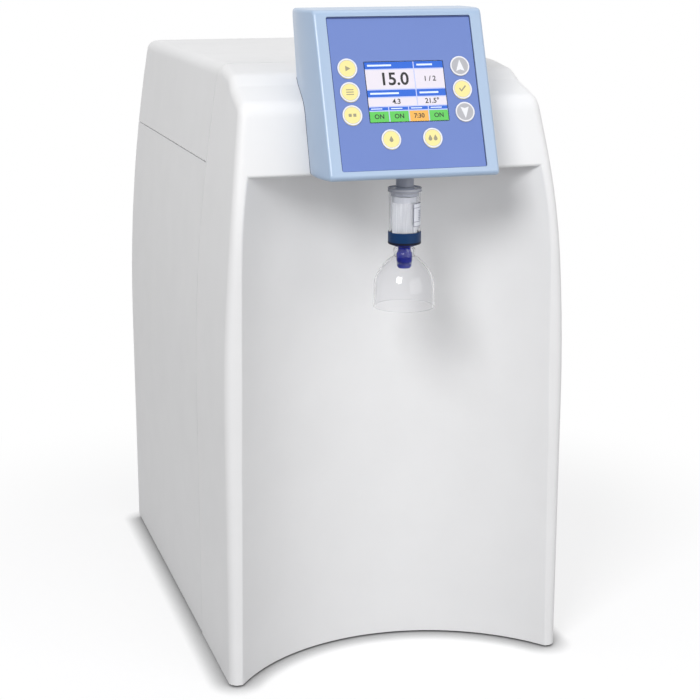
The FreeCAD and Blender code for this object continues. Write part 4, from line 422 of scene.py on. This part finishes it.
DISPLAY = moulded("display_dark", tone(34, 38, 52), roughness=0.25)
CHASSIS = sheet_metal("chassis_grey", tone(186, 188, 192))
PANEL = sheet_metal("back_panel_coat", tone(214, 216, 219))
STEEL = brushed("bright_steel", tone(196, 197, 200), 2)
BRASS = brushed("turned_brass", tone(202, 172, 108), 2, roughness=0.32)
SUPPLY = brushed("supply_metal", tone(206, 208, 211), 1, roughness=0.42)
BLACK = moulded("black_plastic", tone(44, 45, 48), roughness=0.5)
RUBBER = rubber("foot_rubber")
CIRCUIT = circuit_board("circuit_green")
CARTRIDGE = moulded("cartridge_white", tone(232, 233, 234), roughness=0.33)
HEAD = moulded("head_blue", tone(52, 92, 158), roughness=0.4)
MODULE = moulded("module_white", tone(222, 225, 228), roughness=0.3)
MOTOR = sheet_metal("motor_paint", tone(62, 66, 72))
TUBE = milky("tube_milky", tone(222, 230, 238), 0.25)

painted = {
    "front_cover": SHELL, "rear_hood": SHELL, "left_door": SHELL, "right_door": SHELL,
    "console_housing": CONSOLE, "overlay_panel": OVERLAY, "screen_window": WINDOW, "display_module": DISPLAY,
    "key_left_top": KEY_YELLOW, "key_left_middle": KEY_YELLOW, "key_left_bottom": KEY_YELLOW,
    "key_up": KEY_GREY, "key_enter": KEY_YELLOW, "key_down": KEY_GREY, "key_lower_left": KEY_YELLOW,
    "key_lower_right": KEY_YELLOW, "key_board": CIRCUIT, "outlet_stub": STUB, "filter_cap": CAP,
    "filter_capsule": CAPSULE, "fibre_bundle": FIBRE, "filter_collar": COLLAR, "filter_nozzle": NOZZLE,
    "filling_bell": BELL, "base_tray": CHASSIS, "feet": RUBBER, "bulkhead": CHASSIS,
    "centre_divider": CHASSIS, "top_deck": CHASSIS, "door_pins": STEEL, "magnet_catches": BLACK,
    "left_strikes": STEEL, "right_strikes": STEEL, "back_panel": PANEL, "screws": STEEL,
    "cartridge_front": CARTRIDGE, "cartridge_middle": CARTRIDGE, "cartridge_rear": CARTRIDGE,
    "cartridge_heads": HEAD, "head_bracket": CHASSIS, "lamp_chamber": STEEL, "lamp_caps": BLACK,
    "lamp_ballast": MOTOR, "ultrafilter_housing": MODULE, "ultrafilter_ends": HEAD,
    "measuring_cell": STEEL, "tube_saddles": BLACK, "pump_motor": MOTOR, "pump_head": BRASS,
    "pump_mounts": RUBBER, "pressure_regulator": BRASS, "dispense_valve": BLACK, "water_unions": BLACK,
    "inlet_module": BLACK, "fuse_drawer": BLACK, "power_rocker": BLACK, "power_supply": SUPPLY,
    "main_board": CIRCUIT, "board_standoffs": BRASS, "water_tubes": TUBE,
}
for node, material in painted.items():
    nodes[node].data.materials.clear()
    nodes[node].data.materials.append(material)


# Keys: a pale ring, a fine groove and a mark on each

def triangle(size, down=False):
    """An arrow head with a notched foot."""
    points = [(0, size), (-0.66 * size, -0.78 * size), (0, -0.56 * size), (0.66 * size, -0.78 * size)]
    return [(-x, -y) for x, y in points] if down else points


def bar(x, y, width, height):
    """A rectangle round its middle."""
    return rectangle(x - width / 2, y - height / 2, x + width / 2, y + height / 2)


def drop(size, x=0.0):
    """A drop: a point on top of a round foot."""
    outline = [(x, 1.7 * size)]
    for angle in range(150, 391, 20):
        turn = math.radians(angle)
        outline.append((x + size * math.cos(turn), size * math.sin(turn) - 0.4 * size))
    return outline


def tick(size):
    """A tick with a short and a long arm."""
    corners = ((-0.9, 0.1), (-0.3, -0.7), (1.0, 0.7), (0.75, 0.95), (-0.3, -0.2), (-0.65, 0.35))
    return [(x * size, y * size) for x, y in corners]


def key_marks():
    """The outlines printed on each key, in its own directions."""
    return {
        "key_left_top": [[(-1.8 * MM, -2.4 * MM), (2.6 * MM, 0), (-1.8 * MM, 2.4 * MM)]],
        "key_left_middle": [bar(0, y * MM, 6.5 * MM, 0.8 * MM) for y in (-2, 0, 2)],
        "key_left_bottom": [bar(x * MM, 0, 2.6 * MM, 2.6 * MM) for x in (-2, 2)],
        "key_up": [triangle(5.6 * MM)],
        "key_down": [triangle(5.6 * MM, down=True)],
        "key_enter": [tick(3.4 * MM)],
        "key_lower_left": [drop(1.7 * MM)],
        "key_lower_right": [drop(1.7 * MM, x * MM) for x in (-2.3, 2.3)],
    }


KEY_FACE_DEPTH = 0.0006  # how far below its top a key's face may curve
RING_INSET = 0.25 * MM
RING_WIDTH = 1.25 * MM
RING_SUNK = 0.1 * MM
RING_EDGE = 0.02 * MM
RING_TOP = 0.12 * MM
RING_BEVEL = 0.15 * MM
GROOVE_WIDTH = 0.3 * MM
GROOVE_SUNK = 0.05 * MM
INK = 0.04 * MM


def key_trim(name, marks):
    """A key's ring, groove and mark, which move with it."""
    body = name.replace("key_", "") + "_key"
    across, up = on_face(name)
    spots = [console_face.inverted() @ vertex.co for vertex in nodes[name].data.vertices]
    top = max(spot.z for spot in spots)
    face = [spot for spot in spots if spot.z > top - KEY_FACE_DEPTH]
    outer = max(math.hypot(spot.x - across, spot.y - up) for spot in face) - RING_INSET
    inner = outer - RING_WIDTH
    place = console_face @ Matrix.Translation((across, up, top))
    ring = [(inner, -RING_SUNK), (outer, -RING_SUNK), (outer, RING_EDGE), (outer - RING_BEVEL, RING_TOP),
            (inner + RING_BEVEL, RING_TOP), (inner, RING_EDGE)]
    lathe(name + "_ring", ring, place, body, KEY_RING)
    groove = rectangle(inner - GROOVE_WIDTH, -GROOVE_SUNK, inner, INK / 2)
    lathe(name + "_groove", groove, place, body, KEY_GREY)
    ink = ARROW_MARK if name in ("key_up", "key_down") else KEY_MARK
    blocks(name + "_mark", marks, -INK, INK, place, body, ink)


for key_name, key_outlines in key_marks().items():
    key_trim(key_name, key_outlines)


# The display's picture: bars, cells and figures of no known instrument

HEADER = lit("screen_header", tone(20, 88, 190), 0.2)
CELL = lit("screen_cell", tone(214, 208, 218), 0.12)
GREEN = lit("screen_green", tone(84, 184, 78), 0.12)
AMBER = lit("screen_amber", tone(222, 166, 76), 0.12)
GAP = lit("screen_gap", tone(176, 186, 226), 0.12)
INK_DARK = printed("screen_ink", tone(10, 10, 14))
INK_PALE = lit("screen_pale_ink", tone(206, 218, 242), 0.2)


def display():
    """The picture just behind the window, in shares of its width and height."""
    corners = [console_face.inverted() @ vertex.co for vertex in nodes["screen_window"].data.vertices]
    left, right = min(point.x for point in corners), max(point.x for point in corners)
    low, high = min(point.y for point in corners), max(point.y for point in corners)
    level = max(point.z for point in corners)
    place = console_face @ Matrix.Translation((0, 0, level))
    width, height = right - left, high - low
    line = 0.45 * MM
    skin = 0.03 * MM
    stroke = 0.022
    split = 0.62
    halves = [(0, split), (split, 1)]
    quarters = [(step / 4, (step + 1) / 4) for step in range(4)]

    def row(columns, foot, head):
        """A cell for each column, with a line's width round it."""
        return [rectangle(left + start * width + line, low + foot * height + line,
                          left + stop * width - line, low + head * height - line) for start, stop in columns]

    def caption(x, y, length, thickness):
        """A bar that stands for a word."""
        return bar(left + (x + length / 2) * width, low + y * height, length * width, thickness)

    def show(name, outlines, material, layer):
        foot, head = (layer - 1) * skin, layer * skin
        blocks("screen_" + name, outlines, foot, head, place, "cabinet", material)

    def figures(name, line_of_figures, x, y, size):
        spot = place @ Matrix.Translation((left + x * width, low + y * height, 2.2 * skin))
        words("screen_" + name, line_of_figures, size, spot, "cabinet", INK_DARK,
              depth=skin / 4, weight=size * stroke)

    show("ground", row([(0, 1)], 0, 1), GAP, 1)
    show("headers", row(halves, 0.87, 1) + row(halves, 0.41, 0.54) + row(quarters, 0.19, 0.26), HEADER, 2)
    show("cells", row(halves, 0.54, 0.87) + row(halves, 0.26, 0.41), CELL, 2)
    show("greens", row(quarters[:2] + quarters[3:], 0, 0.19), GREEN, 2)
    show("amber", row(quarters[2:3], 0, 0.19), AMBER, 2)
    captions = [caption(x, y, length, 1.5 * MM) for x, y, length in (
        (0.04, 0.935, 0.3), (0.66, 0.935, 0.2), (0.04, 0.475, 0.36), (0.66, 0.475, 0.24))]
    captions += [caption(start + 0.03, 0.225, 0.14, 0.8 * MM) for start, _ in quarters]
    show("captions", captions, INK_PALE, 3)
    figures("reading", "15.0", 0.36, 0.70, 15 * MM)
    figures("mode", "1 / 2", 0.81, 0.70, 6 * MM)
    figures("count", "4.3", 0.36, 0.335, 6 * MM)
    figures("degrees", "21.5°", 0.81, 0.335, 6 * MM)
    for step, line_of_figures in enumerate(("ON", "ON", "7:30", "ON")):
        figures(f"state_{step}", line_of_figures, (step + 0.5) / 4, 0.095, 5.4 * MM)


display()


# Painted shade in the seam between the console and the shoulder that it sits on

# Dark navy that stands in for the shade in the seam gap: painted shade, not a part of its own.
SEAM_SHADE = moulded("painted_seam_shade", tone(16, 34, 84), roughness=0.5)
CONSOLE_HALF = 68 * MM
SIDE_FACING = 0.7
HOUSING_WELD = 1e-6
BEAD_OVERLAP = 0.3


def on_the_joint(edge, side, cover, gap):
    """Whether an edge lies along the cover, on the outside of the housing's side."""
    if any(cover.find_nearest(vertex.co)[3] > gap for vertex in edge.verts):
        return False
    return math.copysign(1, side.normal.x) * edge.verts[0].co.x >= CONSOLE_HALF


def bead(edit, start, stop, width):
    """Add a flat bar from one point to another, and past each by a little."""
    along = (stop - start).normalized()
    across = Vector((1, 0, 0)).cross(along).normalized()
    out = along.cross(across).normalized()
    corners = [across * width + out * width * 0.5, -across * width + out * width * 0.5,
               -across * width - out * width * 0.5, across * width - out * width * 0.5]
    past = along * width * BEAD_OVERLAP
    first = [edit.verts.new(start - past + corner) for corner in corners]
    second = [edit.verts.new(stop + past + corner) for corner in corners]
    edit.faces.new(first)
    edit.faces.new(second[::-1])
    for number in range(4):
        ahead = (number + 1) % 4
        edit.faces.new((first[number], second[number], second[ahead], first[ahead]))


def console_seam_shade(width, gap):
    """A thin bead of painted shade along the edge where the console's sides meet the cover."""
    mesh = nodes["front_cover"].data
    cover = BVHTree.FromPolygons([vertex.co for vertex in mesh.vertices],
                                 [face.vertices for face in mesh.polygons])
    housing = bmesh.new()
    housing.from_mesh(nodes["console_housing"].data)
    bmesh.ops.remove_doubles(housing, verts=housing.verts, dist=HOUSING_WELD)
    edit = bmesh.new()
    for edge in housing.edges:
        sides = [face for face in edge.link_faces if abs(face.normal.x) > SIDE_FACING]
        if len(edge.link_faces) == 2 and len(sides) == 1 and on_the_joint(edge, sides[0], cover, gap):
            bead(edit, edge.verts[0].co, edge.verts[1].co, width)
    housing.free()
    finished("console_seam_shade", edit, "cabinet", SEAM_SHADE, smooth=0)


console_seam_shade(0.5 * MM, 0.5 * MM)


# Painted shadow in the thin gap round the overlay, widest at its top under the frame's lip

# Dark blue that stands in for the shadow that the frame's lip casts on the overlay: painted shadow.
GAP_SHADOW = moulded("painted_gap_shadow", tone(44, 62, 118), roughness=0.6)


def overlay_gap_shadow(top, side, foot):
    """Thin dark strips of painted shadow where the console's frame meets the overlay."""
    spots = [console_face.inverted() @ vertex.co for vertex in nodes["overlay_panel"].data.vertices]
    sunk, proud, slack = 0.05 * MM, 0.04 * MM, 0.1 * MM
    face = [spot for spot in spots if spot.z > -slack]
    left, right = min(spot.x for spot in face), max(spot.x for spot in face)
    low, high = min(spot.y for spot in face), max(spot.y for spot in face)
    strips = [rectangle(left, high - top, right, high), rectangle(left, low, left + side, high),
              rectangle(right - side, low, right, high), rectangle(left, low, right, low + foot)]
    blocks("overlay_gap_shadow", strips, -sunk, proud, console_face, "cabinet", GAP_SHADOW)


overlay_gap_shadow(1.4 * MM, 0.5 * MM, 0.2 * MM)


# Final filter: hollow fibres between two pottings

PLUG_DEPTH = 3.4 * MM  # from the capsule's top down to the upper potting
POTTING_SHARE = 0.13
WHITE_SHARE = 0.86
STRAND_RADIUS = 0.42 * MM
STRAND_PITCH = 0.95 * MM
STRAND_ROWS = 4
STRAND_SWAY = 0.3 * MM


def strands(radius, potting, white, place):
    """A curve of upright strands in rows round the axis, each swaying a little."""
    curve = bpy.data.curves.new("fibre_strands", "CURVE")
    curve.dimensions = "3D"
    curve.bevel_depth = STRAND_RADIUS
    curve.bevel_resolution = 1
    for row in range(STRAND_ROWS):
        ring = radius * 0.93 * (row + 1.2) / (STRAND_ROWS + 0.2)
        count = max(6, round(2 * math.pi * ring / STRAND_PITCH))
        for step in range(count):
            angle = 2 * math.pi * (step + 0.5 * (row % 2)) / count
            sway = STRAND_SWAY * math.sin(7 * angle + row)
            stations = ((ring, potting * 0.8, 0), (ring, white * 0.45, sway), (ring, white * 0.8, -sway),
                        (ring * 0.98, white * 1.01, sway))
            strand = curve.splines.new("NURBS")
            strand.points.add(len(stations) - 1)
            for point, (out, height, drift) in zip(strand.points, stations):
                turn = angle + drift / max(ring, MM)
                point.co = (*(place @ Vector((out * math.cos(turn), out * math.sin(turn), height))), 1)
            strand.order_u = 3
            strand.use_endpoint_u = True
    return curve


def fibres():
    """Hollow fibres standing in their potting up to the cap, in place of the plain bundle."""
    low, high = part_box("fibre_bundle")
    centre = middle("fibre_bundle")
    radius = (high[0] - low[0]) / 2
    foot = low[2]
    length = Vector(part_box("filter_capsule")[1]).z - PLUG_DEPTH - foot
    white = length * WHITE_SHARE
    potting = length * POTTING_SHARE
    place = Matrix.Translation((centre.x, centre.y, foot))
    lower = [(0.0, 0.0), (radius, 0.0), (radius, potting * 0.85), (radius * 0.94, potting), (0.0, potting)]
    lathe("fibre_potting", lower, place, "final_filter", FIBRE)
    head = length * 0.995
    upper = [(0.0, white), (radius * 0.95, white), (radius * 0.98, head), (0.0, head)]
    lathe("fibre_top_potting", upper, place, "final_filter", POTTING)
    bundle = from_curve("fibre_strands", strands(radius, potting, white, place), "final_filter", FIBRE)
    for face in bundle.data.polygons:
        face.use_smooth = True
    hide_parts("fibre_bundle")


fibres()


# Final filter: its label, dark and clear rings and lid, and the bell over its nozzle

LABEL_INK = printed("label_ink", tone(38, 42, 96))
LABEL_GROUND = printed("label_ground", tone(222, 224, 232))
CLEAR_RING = clear_plastic("clear_ring", tone(232, 236, 250), 0.05)
RIM_DARK = moulded("rim_dark", tone(6, 10, 34), roughness=0.5, specular=0.2)
EDGE_GREY = moulded("edge_grey", tone(86, 88, 108), roughness=0.25)


def wrapped(edit, centre, radius, turns, heights, thickness, steps):
    """Add a thin patch round an upright cylinder, between two angles in degrees and two heights."""
    grid = []
    for out in (0, thickness):
        for height in heights:
            grid.append([edit.verts.new((centre.x + (radius + out) * math.cos(angle),
                                         centre.y + (radius + out) * math.sin(angle), height))
                         for angle in (math.radians(turns[0] + (turns[1] - turns[0]) * step / steps)
                                       for step in range(steps + 1))])
    low_in, high_in, low_out, high_out = grid
    for step in range(steps):
        for one, other in ((low_in, high_in), (high_in, high_out), (high_out, low_out), (low_out, low_in)):
            edit.faces.new((one[step], one[step + 1], other[step + 1], other[step]))
    for end in (0, steps):
        edit.faces.new((low_in[end], high_in[end], high_out[end], low_out[end]))


def capsule_label():
    """The print on the capsule's right: a thin frame with plain bars, and no words."""
    low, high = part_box("filter_capsule")
    centre = middle("filter_capsule")
    radius = (high[0] - low[0]) / 2
    foot = Vector(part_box("filter_collar")[1]).z
    span = high[2] - foot
    paper = 0.05 * MM
    ink = 1.6 * paper
    line = 0.32 * MM
    left, right = -74, 6
    wide = math.degrees(line / radius)
    bottom, top = foot + 0.16 * span, foot + 0.74 * span
    tall = top - bottom
    ground = bmesh.new()
    wrapped(ground, centre, radius, (left, right), (bottom, top), paper, steps=16)
    finished("capsule_label_ground", ground, "final_filter", LABEL_GROUND)
    print_lines = bmesh.new()
    lines = [((left, left + wide), (bottom, top)), ((right - wide, right), (bottom, top))]
    for level in (bottom, top - line, bottom + 0.8 * tall, bottom + 0.2 * tall):
        lines.append(((left, right), (level, level + line)))
    for turns, heights in lines:
        wrapped(print_lines, centre, radius, turns, heights, ink, steps=16)
    for step in range(6):
        level = bottom + (0.28 + 0.075 * step) * tall
        turns = (left + 26, right - 12 - 9 * (step % 3))
        wrapped(print_lines, centre, radius, turns, (level, level + 1.6 * line), ink, steps=12)
    finished("capsule_label_print", print_lines, "final_filter", LABEL_INK)


def filter_rings():
    """The collar's dark lower edge, and the clear ring between the nozzle's bulb and its end."""
    low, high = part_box("filter_collar")
    centre = middle("filter_collar")
    radius = (high[0] - low[0]) / 2
    edge = 1.0 * MM
    skin = 0.05 * MM
    band = 2.2 * MM
    profile = []
    for angle in range(0, 91, 15):
        turn = math.radians(angle)
        profile.append((radius - edge + (edge + skin) * math.sin(turn), edge - (edge + skin) * math.cos(turn)))
    profile += [(radius + skin, band), (radius - edge, band)]
    place = Matrix.Translation((centre.x, centre.y, low[2]))
    lathe("collar_rim", profile, place, "final_filter", RIM_DARK)
    bore, foot, head = 5.25 * MM, 3.0 * MM, 4.8 * MM
    profile = [(bore, foot), (6.5 * MM, foot), (6.6 * MM, head), (bore, head)]
    place = Matrix.Translation((centre.x, centre.y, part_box("filter_nozzle")[0][2]))
    lathe("nozzle_clear_ring", profile, place, "final_filter", CLEAR_RING)


def filter_lid():
    """The filter's clear cap: a flat round lid with a raised lip, a plug in the capsule and fine dark edges."""
    low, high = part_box("filter_cap")
    centre = middle("filter_cap")
    lip = (high[0] - low[0]) / 2
    foot = low[2] - high[2]
    bore, well, crown, plug = 2.0 * MM, 4.3 * MM, 8.0 * MM, 12.1 * MM
    lip_top, dish, seat, well_floor = -0.6 * MM, -1.3 * MM, -4.4 * MM, -5.6 * MM
    upper_edge, lower_edge = -1.0 * MM, seat + 1.1 * MM
    place = Matrix.Translation((centre.x, centre.y, high[2]))
    profile = [(bore, foot), (plug, foot), (plug, seat), (lip - 0.5 * MM, seat), (lip, seat + 0.5 * MM),
               (lip, upper_edge), (lip - 0.3 * MM, lip_top), (lip - 1.0 * MM, lip_top), (lip - 1.4 * MM, dish),
               (crown + 0.4 * MM, dish), (crown, -0.3 * MM), (crown - 0.4 * MM, 0.0), (well, 0.0),
               (well, well_floor), (bore, well_floor)]
    lid = lathe("filter_lid", profile, place, "final_filter", CAP, steps=72)
    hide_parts("filter_cap")
    line = 0.3 * MM
    for name, level in (("lid_upper_edge", upper_edge), ("lid_lower_edge", lower_edge)):
        profile = rectangle(lip - 2 * line, level - line / 2, lip + line / 4, level + line / 2)
        lathe(name, profile, place, "final_filter", EDGE_GREY, steps=72)


def smooth_bell():
    """The bell as blown: a short neck that flares in one sweep into the straight wall."""
    low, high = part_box("filling_bell")
    centre = middle("filling_bell")
    rim = 0.965 * (high[0] - low[0]) / 2
    shoulder = 0.965 * rim
    tall = high[2] - low[2]
    wall = 1.3 * MM
    neck = 9.2 * MM
    grip = 7.0 * MM
    neck_share, flare_share, flare_steps = 0.86, 0.42, 22
    outside = [(neck - 0.4 * MM, tall), (neck, tall - 0.5 * MM), (neck, tall * neck_share)]
    for step in range(1, flare_steps + 1):
        share = step / flare_steps
        bulge = 0.42 * share + 0.58 * math.sin(share * math.pi / 2)
        outside.append((neck + (shoulder - neck) * bulge, tall * (neck_share - flare_share * share ** 1.25)))
    outside += [(rim * 0.975, tall * 0.3), (rim * 0.99, tall * 0.12), (rim, 0.6 * MM), (rim, 0.0)]
    inside = []
    for out, height in outside[2:-1]:
        slopes = 0.3 < height / tall < neck_share + 0.01
        inside.append((max(out - wall, grip), height - 0.7 * wall * slopes))
    inside.append((rim - wall, 0.0))
    profile = [(grip, tall), *outside, *inside[::-1]]
    place = Matrix.Translation((centre.x, centre.y, low[2]))
    bell = lathe("bell_smooth", profile, place, "bell", BELL, steps=96, smooth=60)
    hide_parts("filling_bell")


capsule_label()
filter_rings()
filter_lid()
smooth_bell()


# Room and light

CAMERA_YAW = math.radians(16.89)
CAMERA_PITCH = math.radians(14.12)
CAMERA_PLACE = Vector((-0.4497, -1.5530, 0.6526))
FOCAL_SHARE = 1657.2 / 700
SENSOR = 36.0

KEY_LIGHT, KEY_DISTANCE, KEY_SIZE = 0.54, 4.0, 1.3
SIDE_LIGHT, SIDE_DISTANCE, SIDE_SIZE = 0.4, 3.0, 2.6
TOP_LIGHT, TOP_PLACE, TOP_SIZE = 0.15, (0.2, 0.2, 3.0), 1.6
KEY_WAY = Vector((-0.504, -0.645, 0.574))
SIDE_WAY = Vector((0.459, -0.864, 0.208))
FILL = 0.455

FLOOR_HALF = 9.0
FLOOR_PAINT = tone(156, 156, 157)
FADE_START, FADE_END = 0.32, 0.66
# How far from the object, and how strongly, the floor's glow is darkened: painted contact shade.
CONTACT_SHADE_REACH = 0.02
CONTACT_SHADE_DEPTH = 2.8


def camera():
    """The camera at the photograph's angle."""
    data = bpy.data.cameras.new("camera")
    data.sensor_fit = "HORIZONTAL"
    data.sensor_width = SENSOR
    data.lens = SENSOR * FOCAL_SHARE
    thing = bpy.data.objects.new("camera", data)
    level = math.cos(CAMERA_PITCH)
    ahead = Vector((math.sin(CAMERA_YAW) * level, math.cos(CAMERA_YAW) * level, -math.sin(CAMERA_PITCH)))
    thing.rotation_euler = ahead.to_track_quat("-Z", "Y").to_euler()
    thing.location = CAMERA_PLACE
    bpy.context.scene.collection.objects.link(thing)
    bpy.context.scene.camera = thing


def lamp(name, place, aim, size, factor):
    """A square lamp that lights a facing surface at its aim by that factor of its own colour."""
    data = bpy.data.lights.new(name, "AREA")
    data.size = size
    way = Vector(aim) - Vector(place)
    data.energy = factor * math.pi ** 2 * way.length_squared
    thing = bpy.data.objects.new(name, data)
    thing.location = place
    thing.rotation_euler = way.to_track_quat("-Z", "Y").to_euler()
    bpy.context.scene.collection.objects.link(thing)


def backdrop_share(tree):
    """1 for rays that should see the pale room: from the camera, and through gloss and glass."""
    path = tree.nodes.new("ShaderNodeLightPath")
    total = path.outputs["Is Camera Ray"]
    for name in ("Is Glossy Ray", "Is Transmission Ray"):
        total = joined(tree, "MAXIMUM", total, path.outputs[name])
    return total


def surround(fill):
    """A white surround that lights all round."""
    world = bpy.data.worlds.new("room")
    bpy.context.scene.world = world
    world.use_nodes = True
    tree = world.node_tree
    shown = tree.nodes["Background"]
    shown.inputs["Color"].default_value = (1, 1, 1, 1)
    tree.links.new(mapped(tree, backdrop_share(tree), fill, 1.0), shown.inputs["Strength"])


def floor_finish(floor_light):
    """Pale paint that keeps the lamps' shadows, glows up to white in view, darkens that glow next to the object
    as painted contact shade, and gives way to white further out.
    """
    finish = Finish("floor_pale")
    tree = finish.tree
    lit_paint = FLOOR_PAINT[1] * floor_light
    finish.mottle(FLOOR_PAINT, 0.004, 0.4)
    finish.set(Roughness=0.9, Specular_IOR_Level=0.0, Emission_Color=(1, 1, 1, 1))
    seen = backdrop_share(tree)
    # The glow dims where the floor is hemmed in by the object: painted contact shade.
    open_sky = tree.nodes.new("ShaderNodeAmbientOcclusion")
    open_sky.inputs["Distance"].default_value = CONTACT_SHADE_REACH
    open_sky.samples = 12
    kept = joined(tree, "MULTIPLY", seen, joined(tree, "POWER", open_sky.outputs["AO"], CONTACT_SHADE_DEPTH))
    glow = joined(tree, "MULTIPLY", kept, max(1.0 - lit_paint, 0))
    finish.link(glow, finish.shader.inputs["Emission Strength"])
    white = tree.nodes.new("ShaderNodeEmission")
    finish.link(mapped(tree, seen, lit_paint, 1.0), white.inputs["Strength"])
    away = tree.nodes.new("ShaderNodeVectorMath")
    away.operation = "LENGTH"
    finish.link(finish.place, away.inputs[0])
    far = mapped(tree, away.outputs["Value"], 0.0, 1.0, FADE_START, FADE_END, blend="SMOOTHSTEP")
    fade = tree.nodes.new("ShaderNodeMixShader")
    finish.link(far, fade.inputs["Fac"])
    finish.link(finish.shader.outputs["BSDF"], fade.inputs[1])
    finish.link(white.outputs["Emission"], fade.inputs[2])
    finish.link(fade.outputs["Shader"], finish.output.inputs["Surface"])
    return finish.material


def room(fill, floor_light):
    """The surround, and a pale floor that keeps the shadow and fades into it."""
    surround(fill)
    mesh = bpy.data.meshes.new("floor")
    corners = [(x, y, 0) for x, y in rectangle(-FLOOR_HALF, -FLOOR_HALF, FLOOR_HALF, FLOOR_HALF)]
    mesh.from_pydata(corners, [], [(0, 1, 2, 3)])
    floor = bpy.data.objects.new("floor", mesh)
    bpy.context.scene.collection.objects.link(floor)
    mesh.materials.append(floor_finish(floor_light))


camera()
aim = (Vector(cad_box[0]) + Vector(cad_box[1])) / 2
lamp("key_lamp", aim + KEY_WAY * KEY_DISTANCE, aim, KEY_SIZE, KEY_LIGHT)
lamp("side_lamp", aim + SIDE_WAY * SIDE_DISTANCE, aim, SIDE_SIZE, SIDE_LIGHT)
lamp("top_lamp", TOP_PLACE, aim, TOP_SIZE, TOP_LIGHT)
room(FILL, FILL + KEY_LIGHT * KEY_WAY.z + SIDE_LIGHT * SIDE_WAY.z + TOP_LIGHT)
bpy.context.scene.view_settings.view_transform = "Standard"
